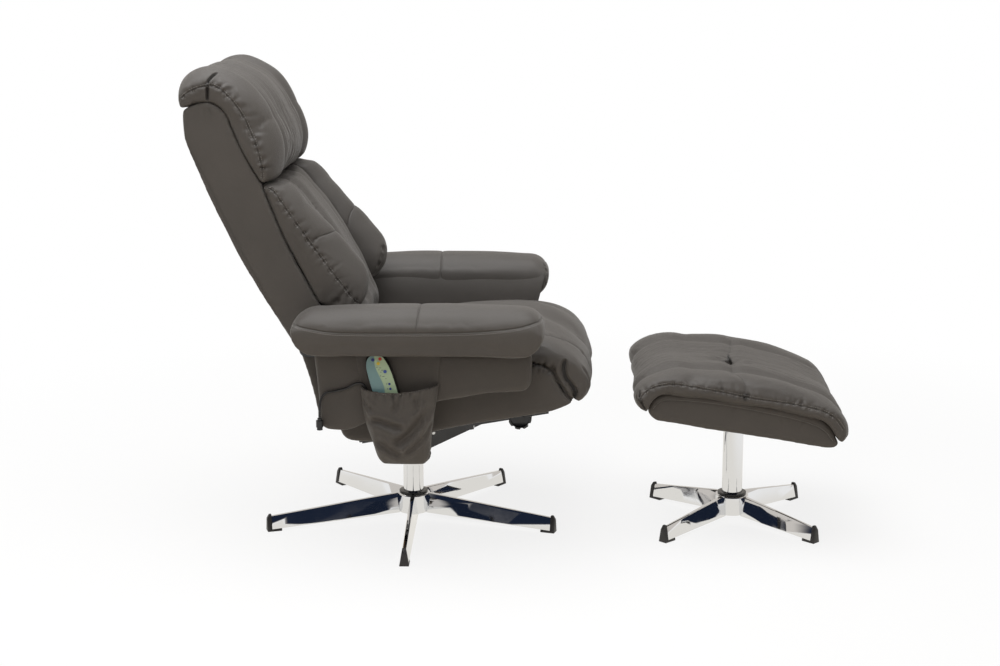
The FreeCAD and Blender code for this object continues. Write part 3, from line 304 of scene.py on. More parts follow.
def merged_copy(node, name):
    """Copy of a node's mesh as one joined skin, ready for modifiers."""
    mesh = frame["nodes"][node].data.copy()
    mesh.name = name
    mesh.materials.clear()
    if mesh.has_custom_normals:
        mesh.attributes.remove(mesh.attributes["custom_normal"])
    shape = bmesh.new()
    shape.from_mesh(mesh)
    bmesh.ops.remove_doubles(shape, verts=shape.verts, dist=weld_distance)
    shape.to_mesh(mesh)
    shape.free()
    piece = bpy.data.objects.new(name, mesh)
    scene.collection.objects.link(piece)
    return piece


def modified(piece, name, kind, **values):
    return tuned(piece.modifiers.new(name, kind), **values)


def settle(piece):
    """Replaces the piece's mesh by what its modifiers make of it."""
    graph = bpy.context.evaluated_depsgraph_get()
    finished_mesh = bpy.data.meshes.new_from_object(piece.evaluated_get(graph), depsgraph=graph)
    piece.modifiers.clear()
    old = piece.data
    piece.data = finished_mesh
    bpy.data.meshes.remove(old)


def smoothed(piece, angle=None):
    """Smooth shading, with the edges sharper than the angle left sharp."""
    piece.data.polygons.foreach_set("use_smooth", [True] * len(piece.data.polygons))
    if angle is not None:
        piece.data.set_sharp_from_angle(angle=angle)


def dressed(piece, material, node):
    """Gives a piece its material and slot, and lets it ride with the node's body."""
    piece.data.materials.clear()
    piece.data.materials.append(material)
    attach(piece, body_of(frame["nodes"][node])[0])


def eased(node, radius, material):
    """A rigid node with its sharp edges broken by a small radius."""
    piece = merged_copy(node, node + "_eased")
    shape = bmesh.new()
    shape.from_mesh(piece.data)
    bmesh.ops.dissolve_limit(shape, angle_limit=math.radians(0.5), verts=shape.verts, edges=shape.edges)
    shape.to_mesh(piece.data)
    shape.free()
    modified(piece, "edge", "BEVEL", width=radius, segments=2, limit_method="ANGLE", angle_limit=edge_angle,
             harden_normals=False)
    settle(piece)
    smoothed(piece, edge_angle)
    dressed(piece, material, node)
    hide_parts(node)


def paint(material, *nodes):
    """Gives nodes that stay their material."""
    for node in nodes:
        for entry in frame["nodes"][node].material_slots:
            entry.material = material


for base in ("chair", "stool"):
    eased(base + "_legs", leg_edge_radius, chrome)
    eased(base + "_hub", hub_edge_radius, chrome)
    eased(base + "_feet", foot_edge_radius, foot_plastic)
    eased(base + "_hub_bush", foot_edge_radius / 2, bush_plastic)
    paint(washer_nylon, base + "_thrust_washer")

# Columns: drawn steel tubes, chromed like the bases.
# Each stands on the washer in its hub, turns in the hub bush and carries the chair or the stool's top.
paint(chrome, "chair_column", "stool_column")

# Mechanism: folded tray, crossbars, rails, side plates and link in black stoved steel.
# Its bolts and the nut of the lock are in bright zinc.
stoved, tree, shader = new_material("stoved_steel")
finished(tree, shader, (0.014, 0.014, 0.015, 1), (40, 0.25, 0.42), (500, 0.00008), Coat_Weight=0.3)
zinc, tree, shader = new_material("bright_zinc")
finished(tree, shader, (0.62, 0.62, 0.6, 1), (120, 0.22, 0.38), (300, 0.00005), Metallic=1.0)
paint(stoved, "column_plate", "mechanism_tray", "crossbars", "slide_rails", "side_plates", "seat_runners",
      "link_plates", "link_ears", "stool_plate", "pivot_bolts")
paint(zinc, "plate_bolts", "stool_screws", "clamp_nut")

# Hidden frame: beech plywood bars and battens, woven elastic webbing and the vibration motors' housings.
# The plywood's grain is a noise stretched across the object, and the webbing's weave a fine wave.
ply, tree, shader = new_material("beech_ply")
stretch = add(tree, "ShaderNodeMapping", {"Vector": object_place(tree), "Scale": (40, 2.5, 500)})
grain = noise(tree, stretch.outputs[0], 1.0, 5.0, 0.6)
wood = mixed(tree, grain, (0.36, 0.22, 0.12, 1), (0.6, 0.42, 0.25, 1))
join(tree, shader, {"Base Color": wood, "Roughness": 0.62})
strap, tree, shader = new_material("elastic_webbing")
weave = add(tree, "ShaderNodeTexWave", {"Vector": object_place(tree), "Scale": 180, "Distortion": 0.3})
yarn = mixed(tree, weave.outputs["Fac"], (0.01, 0.01, 0.011, 1), (0.045, 0.043, 0.042, 1))
join(tree, shader, {"Base Color": yarn, "Roughness": 0.85})
paint(ply, "back_crossbars", "seat_battens")
paint(strap, "back_webbing", "seat_webbing")
paint(moulded("motor_housing", (0.045, 0.046, 0.05), 0.4, 0.55, 700, 0.0001), "back_motors", "seat_motors")


# Leather: dark grey-brown corrected hide, pebbled by embossing, softly glazed and darker in the grain, with
# painted shade in the depth of its narrow creases. Its pads are remeshed from the solids, blown up as cloth
# where they are filled, and then sewn, folded and puckered along routes.
hide_colour = (0.078, 0.072, 0.067)
hide_light = 1.22
hide_dark = 0.8
# Share of the hide's colour left at the bottom of a narrow crease: painted shade.
hide_crease_shade = 0.28
pebble_size = 900.0
pebble_depth = 0.00022
# Creases narrower than this get painted shade, which is full at the depth below.
shaded_crease_width = 0.0035
full_crease_shade_depth = 0.0045
inward_share = 0.2
stitch_gap = 0.0032
pad_frames = 18
pad_pressure = 4.0
pad_growth = 0.01
sharp_bend = math.radians(40)
hide, given, result = shader_group("hide_grain", [("Pebbles", pebble_size), ("Cloud", 7.0)],
                                   ["Height", "Tone", "Gloss"])
place = object_place(hide)
cells = add(hide, "ShaderNodeTexVoronoi", {"Vector": place, "Scale": given["Pebbles"]},
            feature="DISTANCE_TO_EDGE")
pebbles = spread(hide, cells.outputs["Distance"], 0, 1, 0.0, 0.25)
fine = spread(hide, noise(hide, place, 420.0, 3.0), 0.5, 1.0)
height = maths(hide, "MULTIPLY", pebbles, fine)
blotch = noise(hide, place, given["Cloud"], 5.0, 0.6)
tone = maths(hide, "MULTIPLY_ADD", height, 0.35, spread(hide, blotch, 0.1, 0.6, 0.3, 0.7))
join(hide, result, {"Height": height, "Tone": tone, "Gloss": spread(hide, blotch, 0.5, 0.6, 0.3, 0.7)})

leather, tree, shader = new_material("grey_leather")
skin = add(tree, "ShaderNodeGroup", node_tree=hide).outputs
grained = mixed(tree, skin["Tone"], shade(hide_colour, hide_dark), shade(hide_colour, hide_light))
# The points' crease values darken the leather in its narrow creases: painted shade.
depth = add(tree, "ShaderNodeAttribute", attribute_name="crease")
crease_shaded = mixed(tree, depth.outputs["Fac"], grained, shade(hide_colour, hide_crease_shade))
bump = add(tree, "ShaderNodeBump", {"Strength": 0.6, "Distance": pebble_depth, "Height": skin["Height"]})
join(tree, shader, {"Base Color": crease_shaded, "Roughness": skin["Gloss"], "Specular IOR Level": 0.42,
                    "Sheen Weight": 0.12, "Sheen Roughness": 0.4, "Normal": bump.outputs[0]})


def points_of(piece):
    mesh = piece.data
    places = np.empty(len(mesh.vertices) * 3)
    mesh.vertices.foreach_get("co", places)
    normals = np.empty(len(mesh.vertices) * 3)
    mesh.vertices.foreach_get("normal", normals)
    return places.reshape(-1, 3), normals.reshape(-1, 3)


def move_points(piece, places):
    piece.data.vertices.foreach_set("co", places.ravel())
    piece.data.update()


def along(route, places, reach):
    """Each point's distance from a route of straight runs, and how far along it lies."""
    best = np.full(len(places), 1e9)
    far = np.zeros(len(places))
    route = np.array([tuple(point) for point in route])
    near = np.flatnonzero(np.all((places > route.min(0) - reach) & (places < route.max(0) + reach), axis=1))
    some = places[near]
    nearest = np.full(len(some), 1e9)
    where = np.zeros(len(some))
    run = 0.0
    for a, b in zip(route[:-1], route[1:]):
        step = b - a
        length = np.linalg.norm(step)
        if length < 1e-6:
            continue
        t = np.clip((some - a) @ step / length ** 2, 0, 1)
        d = np.linalg.norm(some - a - t[:, None] * step, axis=1)
        nearer = d < nearest
        nearest[nearer] = d[nearer]
        where[nearer] = run + t[nearer] * length
        run += length
    best[near] = nearest
    far[near] = where
    return best, far, run


def note_crease_shade(piece, share):
    """Keeps how deep in a narrow crease each point lies, for the painted shade in the leather's colour."""
    mesh = piece.data
    store = mesh.attributes.get("crease") or mesh.attributes.new("crease", "FLOAT", "POINT")
    known = np.empty(len(mesh.vertices))
    store.data.foreach_get("value", known)
    store.data.foreach_set("value", np.maximum(known, share))


def draw_in(piece, route, width, depth, lip=0.0, fade=0.0, taper=0.0, way=None):
    """Pulls the leather in along a route, as a seam or a fold does, with a raised lip each side.

    It dies away over the fade at both ends and by the taper towards the far end, and goes along the surface's
    normal or the way given.
    """
    places, normals = points_of(piece)
    distance, far, run = along(route, places, 4 * width)
    pull = np.exp(-(distance / width) ** 2) - lip * np.exp(-((distance - 2.1 * width) / width) ** 2)
    pull = depth * pull * (1 - taper * far / max(run, 1e-6))
    if fade:
        pull *= np.clip(np.minimum(far, run - far) / fade, 0, 1)
    out = normals if way is None else np.array(way)
    move_points(piece, places - out * pull[:, None])
    # A narrow crease is noted so that the leather is darkened in it: painted shade.
    if width < shaded_crease_width:
        note_crease_shade(piece, np.clip(pull / full_crease_shade_depth, 0, 1))


def refined(piece, routes, *reaches):
    """Splits the mesh more finely near the routes, once for each reach, so that it can hold a seam."""
    for reach in reaches:
        places, _ = points_of(piece)
        near = np.zeros(len(places), bool)
        for route in routes:
            near |= along(route, places, reach)[0] < reach
        shape = bmesh.new()
        shape.from_mesh(piece.data)
        shape.verts.ensure_lookup_table()
        edges = [e for e in shape.edges if near[e.verts[0].index] and near[e.verts[1].index]]
        bmesh.ops.subdivide_edges(shape, edges=edges, cuts=1, use_grid_fill=True, smooth=0.0)
        bmesh.ops.triangulate(shape, faces=[f for f in shape.faces if len(f.verts) > 4])
        for face in shape.faces:
            face.smooth = True
        shape.to_mesh(piece.data)
        shape.free()


def surface(piece):
    return BVHTree.FromObject(piece, bpy.context.evaluated_depsgraph_get())


def rounded(route, rounds=2):
    """The route with its corners cut into a smooth line, its ends kept."""
    route = [Vector(point) for point in route]
    for _ in range(rounds):
        soft = [route[0]]
        for a, b in zip(route[:-1], route[1:]):
            soft += [a.lerp(b, 0.25), a.lerp(b, 0.75)]
        route = soft + [route[-1]]
    return route


def laid(skin, route, spacing=0.005):
    """The route brought onto a surface, at an even spacing."""
    points = []
    for a, b in zip(route[:-1], route[1:]):
        count = max(1, round((b - a).length / spacing))
        points += [a.lerp(b, i / count) for i in range(count)]
    points.append(route[-1])
    return [skin.find_nearest(point)[0] for point in points]


def laid_on(piece, route):
    """The route, rounded and brought onto a piece."""
    return laid(surface(piece), rounded(route))


def beside(skin, line, offset, lift=0.0001):
    """A line that runs beside another on a surface."""
    points = []
    for i, place in enumerate(line):
        tangent = (line[min(i + 2, len(line) - 1)] - line[max(i - 2, 0)]).normalized()
        normal = skin.find_nearest(place)[1]
        found, normal, _, _ = skin.find_nearest(place + normal.cross(tangent).normalized() * offset)
        points.append(found + normal * lift)
    return points


def section(skin, y, middle, start, end, count=40, reach=0.6):
    """Line where the plane at y cuts a surface, seen from its middle (x, z) between two angles in degrees."""
    points = []
    for i in range(count + 1):
        angle = math.radians(start + (end - start) * i / count)
        out = Vector((math.cos(angle), 0, math.sin(angle)))
        centre = Vector((middle[0], y, middle[1]))
        found = skin.ray_cast(centre + out * reach, -out, reach)[0]
        if found is not None:
            points.append(found)
    return points


def turned(route, side):
    """A route drawn for the right side, on the right (-1) or on the left (1)."""
    return [(x, -side * y, z) for x, y, z in route]


def both_sides(route):
    """A route and its mirror image on the object's other side."""
    return [turned(route, -1), turned(route, 1)]


def at_side(profile, y):
    return [(x, y, z) for x, z in profile]


rides_on = {}
stitch_lines = {}


def stitched(piece, line, offsets, skin=None):
    """Notes rows of stitches beside a seam line; the rows of one body become one piece later on."""
    skin = skin or surface(piece)
    for offset in offsets:
        stitch_lines.setdefault(rides_on[piece.name], []).append(beside(skin, line, offset))


def sewn(piece, routes, sink=(0.009, 0.0014), crease=(0.0017, 0.0026),
         rows=(-stitch_gap, stitch_gap)):
    """Sewn seams: a broad dip, a narrow crease where the panels meet, and rows of stitches beside it."""
    skin = surface(piece)
    lines = [laid(skin, rounded(route)) for route in routes]
    refined(piece, lines, 0.009, 0.0045)
    for line in lines:
        draw_in(piece, line, *sink)
        draw_in(piece, line, *crease)
    skin = surface(piece)
    for line in lines:
        stitched(piece, line, rows, skin)
    return lines


def puckers(piece, line, pitch, length, depth, seed, sides=(1,), width=0.0034, skip=0.015, lean=0.5):
    """Short creases that run off a seam where the leather is gathered into it."""
    random = np.random.RandomState(seed)
    skin = surface(piece)
    runs = [(b - a).length for a, b in zip(line[:-1], line[1:])]
    far = skip
    while far < sum(runs) - skip:
        i = int(np.searchsorted(np.cumsum(runs), far))
        place = line[i]
        tangent = (line[min(i + 2, len(line) - 1)] - line[max(i - 2, 0)]).normalized()
        normal = skin.find_nearest(place)[1]
        across = normal.cross(tangent).normalized()
        for side in sides:
            reach = length * random.uniform(0.4, 1.0)
            way = (across * side + tangent * random.uniform(-lean, lean)).normalized()
            bend = tangent * reach * random.uniform(-0.15, 0.15)
            crease = [skin.find_nearest(place + way * reach * s + bend * s * s)[0]
                      for s in (0.0, 0.35, 0.7, 1.0)]
            draw_in(piece, crease, width=width * random.uniform(0.7, 1.3),
                    depth=depth * random.uniform(0.4, 1.0), lip=0.35, taper=0.9)
        far += pitch * random.uniform(0.5, 1.6)


def fold(piece, route, width, depth, lip=0.35, fade=0.02, way=None, sharp=0.0):
    """One fold in the leather along a route; sharp is the depth of a narrow crease within it."""
    line = laid_on(piece, route)
    if sharp:
        refined(piece, [line], 0.01, 0.005)
        draw_in(piece, line, width=0.0013, depth=sharp, fade=fade, way=way)
    draw_in(piece, line, width=width, depth=depth, lip=lip, fade=fade, way=way)


def uneven(piece, depth, size, seed, stretch=(1, 1, 1), waves=9):
    """Slow swells of a filled skin: waves that cross in random directions."""
    random = np.random.RandomState(seed)
    places, normals = points_of(piece)
    swell = np.zeros(len(places))
    for _ in range(waves):
        way = random.normal(size=3) * stretch
        way *= 2 * math.pi / (size * random.uniform(0.7, 1.5) * np.linalg.norm(way))
        swell += np.sin(places @ way + random.uniform(0, 2 * math.pi))
    move_points(piece, places + normals * (depth * swell / math.sqrt(waves))[:, None])


def wrinkled(piece, pitch, depth, seed, half_width, middle_y=0.0, front=None):
    """Fine lengthwise wrinkles in a panel that is drawn tight between two channels."""
    random = np.random.RandomState(seed)
    places, normals = points_of(piece)
    across = places[:, 1] - middle_y
    run = places[:, 0] + places[:, 2]
    wave = np.zeros(len(places))
    for share in (1.0, 0.62, 0.41, 1.7):
        drift = 0.4 * pitch * np.sin(run * random.uniform(20, 45) + random.uniform(0, 6))
        strength = 0.6 + 0.4 * np.sin(run * random.uniform(14, 30) + across * 25 + random.uniform(0, 6))
        wave += strength * np.cos(2 * math.pi * (across + drift) / (pitch * share) + random.uniform(0, 6))
    inside = np.clip((half_width - np.abs(across)) / (0.25 * half_width), 0, 1)
    if front is not None:
        inside = inside * front(places, normals)
    move_points(piece, places + normals * (depth * wave * inside / 2)[:, None])


def padded(node, name, cap=0.0, voxel=0.0055, smooth=6):
    """Leather pad in the space of its node: remeshed, blown up as cloth by the cap at most, and smoothed."""
    piece = merged_copy(node, name)
    modified(piece, "skin", "REMESH", mode="VOXEL", voxel_size=voxel)
    modified(piece, "ease", "SMOOTH", factor=0.5, iterations=smooth)
    settle(piece)
    start, normals = points_of(piece)
    if cap:
        cloth = modified(piece, "cloth", "CLOTH")
        tuned(cloth.settings, quality=4, mass=0.5, tension_stiffness=25, compression_stiffness=25,
              shear_stiffness=10, bending_stiffness=0.8, shrink_min=-pad_growth, use_pressure=True,
              uniform_pressure_force=pad_pressure)
        cloth.settings.effector_weights.gravity = 0
        tuned(cloth.point_cache, frame_start=1, frame_end=pad_frames)
        for step in range(1, pad_frames + 1):
            scene.frame_set(step)
        settle(piece)
        scene.frame_set(1)
        blown, _ = points_of(piece)
        moved = blown - start
        size = np.linalg.norm(moved, axis=1)
        moved *= (cap * np.tanh(size / cap) / np.maximum(size, 1e-9))[:, None]
        moved[(moved * normals).sum(1) < 0] *= inward_share
        move_points(piece, start + moved)
    elif cap:
        move_points(piece, start + normals * cap * 0.5)
    modified(piece, "finer", "SUBSURF", levels=1, render_levels=1)
    settle(piece)
    smoothed(piece)
    dressed(piece, leather, node)
    rides_on[name] = body_of(frame["nodes"][node])[0]
    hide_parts(node)
    return piece


def drawn_sheet(name, vertices, faces, thickness, offset, node):
    """A thin sheet of leather, drawn tight, that rides with a node."""
    sheet = mesh_piece(name, vertices, faces)
    modified(sheet, "wall", "SOLIDIFY", thickness=thickness, offset=offset)
    settle(sheet)
    smoothed(sheet, sharp_bend)
    dressed(sheet, leather, node)


def strip_faces(count, order=1):
    """The faces between two rows of points, in one order of corners (1) or the other (-1)."""
    return [(i, i + 1, count + i + 1, count + i)[::order] for i in range(count - 1)]


# Back boards and rear panel: plywood sides and a rear skin, wrapped in leather over thin foam.
# A joint in the cover runs down each side near the rear edge, and the cover is tucked below the head.
side_reach = 0.235
board_rear_line = [(-0.672, 0.862), (-0.64, 0.801), (-0.592, 0.693), (-0.533, 0.577), (-0.48, 0.47)]
board_tucks = [(-0.65, 0.935), (-0.62, 0.945), (-0.59, 0.93), (-0.565, 0.9)]

boards = padded("back_boards", "back_board_covers", voxel=0.005)
uneven(boards, depth=0.0006, size=0.11, seed=3)
for side in (-1, 1):
    draw_in(boards, laid_on(boards, at_side(board_rear_line, side * side_reach)), width=0.0026,
            depth=0.0012)
    tucks = laid_on(boards, at_side(board_tucks, side * side_reach))
    puckers(boards, tucks, pitch=0.016, length=0.04, depth=0.0016, seed=11 + side, sides=(side,),
            width=0.0045)
rear = padded("back_rear_panel", "back_rear_cover", voxel=0.004)
uneven(rear, depth=0.001, size=0.14, seed=5)

# Back centre cushion: fibre-filled leather between the bolsters, with two sewn lengthwise channels
# that gather it a little at each side.
channel_y = 0.066
centre_middle = (-0.7, 0.45)

centre = padded("back_center_cushion", "back_center_leather", cap=0.008)
uneven(centre, depth=0.0008, size=0.08, seed=7)
skin = surface(centre)
for side in (-1, 1):
    line = section(skin, side * channel_y, centre_middle, start=78, end=12)
    draw_in(centre, line, width=0.016, depth=0.005, lip=0.25)
    draw_in(centre, line, width=0.003, depth=0.0022)
    puckers(centre, line, pitch=0.03, length=0.03, depth=0.0012, seed=17 + side, sides=(-1, 1),
            width=0.0045, lean=0.3)

# Back tail: leather drawn from behind the centre cushion down over the lowest bar, which closes the view
# between back and seat when the back reclines.
tail_profile = [
    (-0.3965, 0.49), (-0.3935, 0.47), (-0.396, 0.44), (-0.406, 0.416), (-0.405, 0.404), (-0.394, 0.364),
    (-0.3935, 0.354)]
tail_reach = 0.205
tail_wall = 0.0012
edge = rounded(at_side(tail_profile, -tail_reach))
drawn_sheet("back_tail", edge + [Vector((v.x, tail_reach, v.z)) for v in edge], strip_faces(len(edge)),
            tail_wall, 0.0, "back_boards")

# Back bolsters: fat side cushions of the back, filled, with a double-stitched seam along the outer edge.
# A cross seam joins the upper and lower covers. The lower end is gathered and drawn back on its inner side.
bolster_edge = [
    (-0.518, -0.232, 0.786), (-0.503, -0.235, 0.78), (-0.48, -0.235, 0.746), (-0.452, -0.235, 0.705),
    (-0.426, -0.235, 0.667), (-0.398, -0.235, 0.628), (-0.37, -0.235, 0.59), (-0.345, -0.23, 0.556),
    (-0.325, -0.215, 0.53)]
bolster_cross = [
    (-0.424, -0.236, 0.667), (-0.412, -0.228, 0.677), (-0.4, -0.218, 0.68), (-0.386, -0.195, 0.68),
    (-0.385, -0.17, 0.678), (-0.388, -0.15, 0.67), (-0.396, -0.14, 0.64), (-0.41, -0.138, 0.6)]
bolster_foot = [(-0.372, -0.236, 0.545), (-0.352, -0.234, 0.53), (-0.336, -0.226, 0.52)]
bolster_inner_foot = [(-0.322, -0.17, 0.59), (-0.322, -0.15, 0.56), (-0.328, -0.141, 0.535)]
foot_draw = 0.013
foot_top, foot_run = 0.63, 0.09
foot_side, foot_across = 0.225, 0.06
hands = ((-1, "right"), (1, "left"))

for side, name in hands:
    bolster = padded("back_bolster_" + name, "back_bolster_%s_leather" % name, cap=0.007)
    uneven(bolster, depth=0.001, size=0.075, seed=21 + side)
    places, normals = points_of(bolster)
    low = np.clip((foot_top - places[:, 2]) / foot_run, 0, 1)
    inner = np.clip((foot_side - np.abs(places[:, 1])) / foot_across, 0, 1)
    places[:, 0] -= foot_draw * low * inner * np.clip(normals[:, 0] + 0.3, 0, 1)
    move_points(bolster, places)
    edge, _ = sewn(bolster, [turned(bolster_edge, side), turned(bolster_cross, side)], rows=())
    stitched(bolster, edge, (-stitch_gap, stitch_gap))
    puckers(bolster, edge, pitch=0.018, length=0.034, depth=0.0022, seed=31 + side, sides=(-1, 1),
            width=0.0042)
    for route, length, depth, seed in ((bolster_foot, 0.06, 0.0034, 41),
                                       (bolster_inner_foot, 0.034, 0.0018, 46)):
        foot = laid_on(bolster, turned(route, side))
        puckers(bolster, foot, pitch=0.013, length=length, depth=depth, seed=seed + side, sides=(-1, 1),
                width=0.0055, skip=0.004)

# Head cushion: a fat roll over the top of the back, its middle sewn in three lengthwise panels.
# A double-stitched seam runs round each end, and the corner cover is folded in a mitre over the top.
head_middle = (-0.59, 0.895)
head_channel_y = 0.14
head_end_y = 0.239
head_end = [
    (-0.687, 0.962), (-0.667, 0.979), (-0.645, 0.987), (-0.622, 0.992), (-0.603, 0.985), (-0.585, 0.968),
    (-0.566, 0.943), (-0.552, 0.918), (-0.541, 0.893), (-0.532, 0.868), (-0.525, 0.842), (-0.52, 0.82),
    (-0.521, 0.802)]
head_mitre = [
    (-0.612, 0.208, 1.015), (-0.622, 0.226, 1.007), (-0.629, 0.238, 0.996), (-0.629, 0.241, 0.975),
    (-0.632, 0.241, 0.945)]

head = padded("head_cushion", "head_cushion_leather", cap=0.009)
uneven(head, depth=0.001, size=0.09, seed=51)
skin = surface(head)
channels = [section(skin, side * head_channel_y, head_middle, start=128, end=-62) for side in (-1, 1)]
for line in channels:
    draw_in(head, line, width=0.017, depth=0.008, lip=0.2)
refined(head, channels, 0.009, 0.005)
for line in channels:
    draw_in(head, line, width=0.0026, depth=0.005)


def head_front(places, normals):
    """1 on the front and top of the head cushion, 0 on its rear and below."""
    facing = np.clip((normals[:, 0] + normals[:, 2]) / 0.4, 0, 1)
    return np.clip((places[:, 0] + 0.66) / 0.03, 0, 1) * facing


wrinkled(head, pitch=0.021, depth=0.001, seed=53, half_width=head_channel_y - 0.012, front=head_front)
ends = sewn(head, [at_side(head_end, side * head_end_y) for side in (-1, 1)])
for k, (line, inner) in enumerate(zip(ends, (1, -1))):
    puckers(head, line, pitch=0.0105, length=0.045, depth=0.004, seed=55 + k, sides=(inner,), width=0.0044)
    puckers(head, line, pitch=0.024, length=0.022, depth=0.0012, seed=58 + k, sides=(-inner,), width=0.004)
for route in both_sides(head_mitre):
    fold(head, route, width=0.0032, depth=0.004, lip=0.12, fade=0.01, sharp=0.0075)

# Side panels: plywood plates under thin foam and leather below the armrests, screwed to the side plates.
# The right one carries the pocket.
for side, name in hands:
    panel = padded("side_panel_" + name, "side_panel_%s_leather" % name)
    uneven(panel, depth=0.0009, size=0.1, seed=61 + side)

# Armrests: padded shells with a flat side band. The top cover is sewn to the band with one row of stitches
# below the seam, and a cross seam divides the top.
arm_edge = [
    (-0.446, -0.352, 0.52), (-0.436, -0.372, 0.519), (-0.42, -0.378, 0.517), (-0.395, -0.381, 0.513),
    (-0.369, -0.381, 0.509), (-0.308, -0.381, 0.508), (-0.194, -0.381, 0.509), (-0.087, -0.381, 0.511),
    (-0.027, -0.38, 0.516), (0.013, -0.377, 0.521), (0.04, -0.368, 0.527), (0.054, -0.345, 0.53),
    (0.059, -0.31, 0.531)]
arm_cross = [
    (-0.196, -0.381, 0.512), (-0.194, -0.371, 0.534), (-0.192, -0.352, 0.548), (-0.191, -0.315, 0.553),
    (-0.19, -0.28, 0.549), (-0.19, -0.258, 0.53), (-0.19, -0.25, 0.5), (-0.19, -0.25, 0.47)]
arm_tip = [(0.05, -0.285, 0.533), (0.056, -0.27, 0.52), (0.055, -0.258, 0.5), (0.05, -0.252, 0.48)]
stitch_below = 0.006

for side, name in hands:
    arm = padded("armrest_" + name, "armrest_%s_leather" % name, cap=0.003)
    uneven(arm, depth=0.0007, size=0.12, seed=71 + side)
    edge, _ = sewn(arm, [turned(arm_edge, side), turned(arm_cross, side)],
                   sink=(0.008, 0.001), crease=(0.0016, 0.002), rows=())
    stitched(arm, edge, (side * stitch_below,))
    puckers(arm, edge, pitch=0.055, length=0.026, depth=0.0007, seed=73 + side, sides=(-side,), width=0.005)
    tip = laid_on(arm, turned(arm_tip, side))
    draw_in(arm, tip, width=0.003, depth=0.0016, lip=0.2, fade=0.008)
    puckers(arm, tip, pitch=0.012, length=0.018, depth=0.0016, seed=77 + side, sides=(-1, 1), width=0.004,
            skip=0.006)

# Arm linings: the armrest's leather, drawn down over the inner face of the side plate.
# It is tacked behind the seat, and leans forward at its front end with the armrest.
lining_ends = (-0.415, 0.032)
lining_profile = [
    (0.2388, 0.402), (0.2388, 0.415), (0.2388, 0.43), (0.2392, 0.455), (0.2415, 0.48), (0.2465, 0.5),
    (0.253, 0.516)]
lining_lean, lining_lean_from = 0.25, 0.43
lining_wall = 0.0011
for side, name in hands:
    rear = rounded([(lining_ends[0], side * y, z) for y, z in lining_profile])
    front = [Vector((lining_ends[1] + lining_lean * max(0, v.z - lining_lean_from), v.y, v.z)) for v in rear]
    drawn_sheet("arm_lining_" + name, rear + front, strip_faces(len(rear), -side), lining_wall, -1.0,
                "side_plates")

# Pocket: a soft leather bag on a flat back sheet, sewn to the right side panel.
# It is gathered into a stitched hem round its mouth and sags in folds.
outward = (0, -1, 0)
pocket_hem = [
    (-0.311, -0.322, 0.382), (-0.3, -0.333, 0.378), (-0.285, -0.342, 0.374), (-0.262, -0.347, 0.372),
    (-0.24, -0.348, 0.373), (-0.215, -0.347, 0.377), (-0.19, -0.341, 0.384), (-0.168, -0.325, 0.389)]
pocket_folds = [
    ([(-0.314, -0.325, 0.363), (-0.298, -0.338, 0.346), (-0.286, -0.343, 0.33)], 0.005, 0.0044),
    ([(-0.303, -0.333, 0.314), (-0.278, -0.343, 0.316), (-0.254, -0.345, 0.306), (-0.222, -0.345, 0.297)],
     0.007, 0.0065),
    ([(-0.29, -0.333, 0.276), (-0.268, -0.336, 0.261), (-0.249, -0.336, 0.248), (-0.228, -0.332, 0.236)],
     0.0075, 0.0058),
    ([(-0.238, -0.347, 0.368), (-0.239, -0.348, 0.35), (-0.25, -0.348, 0.332)], 0.005, 0.0041),
    ([(-0.199, -0.344, 0.374), (-0.201, -0.345, 0.362), (-0.197, -0.345, 0.347), (-0.208, -0.346, 0.33)],
     0.0055, 0.0044),
    ([(-0.172, -0.33, 0.352), (-0.19, -0.342, 0.318), (-0.215, -0.344, 0.285), (-0.25, -0.34, 0.262)],
     0.0085, 0.0068),
    ([(-0.166, -0.326, 0.318), (-0.18, -0.336, 0.29), (-0.205, -0.338, 0.262), (-0.232, -0.335, 0.245)],
     0.006, 0.0044),
]

bag = padded("pocket_bag", "pocket_bag_leather", voxel=0.0016, smooth=2)
for route, width, depth in pocket_folds:
    fold(bag, route, width=width, depth=depth, lip=0.55, fade=0.014, way=outward)
mouth = laid_on(bag, pocket_hem)
draw_in(bag, mouth, width=0.0016, depth=0.0009, way=outward)
stitched(bag, mouth, (0.0,))
random = np.random.RandomState(83)
for i in range(4, len(mouth) - 3, 3):
    top = mouth[i]
    drop = random.uniform(0.012, 0.036)
    bend = random.uniform(-0.006, 0.006)
    crease = [top + Vector((bend * s, 0, -drop * s)) for s in (0.0, 0.5, 1.0)]
    draw_in(bag, crease, width=random.uniform(0.0024, 0.0038), depth=random.uniform(0.0012, 0.0032),
            lip=0.5, taper=0.9, way=outward)
padded("pocket_back_sheet", "pocket_back_leather", voxel=0.0016, smooth=2)

# Seat box: the sliding seat frame's plywood sides and ends, covered in leather over thin foam.
# The cover is tucked at each upper front corner.
box_tuck = [(0.045, -0.236, 0.401), (0.066, -0.236, 0.398), (0.084, -0.236, 0.388)]
sides = padded("seat_sides", "seat_side_covers", voxel=0.0042, smooth=12)
uneven(sides, depth=0.0008, size=0.1, seed=87)
for k, route in enumerate(both_sides(box_tuck)):
    tuck = laid_on(sides, route)
    puckers(sides, tuck, pitch=0.01, length=0.03, depth=0.0016, seed=88 + k, sides=(-1, 1), width=0.004,
            skip=0.003)
padded("seat_end_rails", "seat_end_covers", voxel=0.005, smooth=10)

# Seat flaps: the seat cushion's cover, drawn down between cushion and box at each side.
# They are stapled behind the box's edge and close the view between the two.
flap_outline = [
    (-0.06, 0.384), (0.068, 0.384), (0.094, 0.366), (0.108, 0.336), (0.121, 0.336), (0.118, 0.376),
    (0.104, 0.402), (0.08, 0.414), (-0.06, 0.416)]
flap_place = 0.2215
flap_wall = 0.0012
for side, name in hands:
    drawn_sheet("seat_flap_" + name, at_side(flap_outline, side * flap_place),
                [tuple(range(len(flap_outline)))[::-side]], flap_wall, -1.0, "seat_cushion")

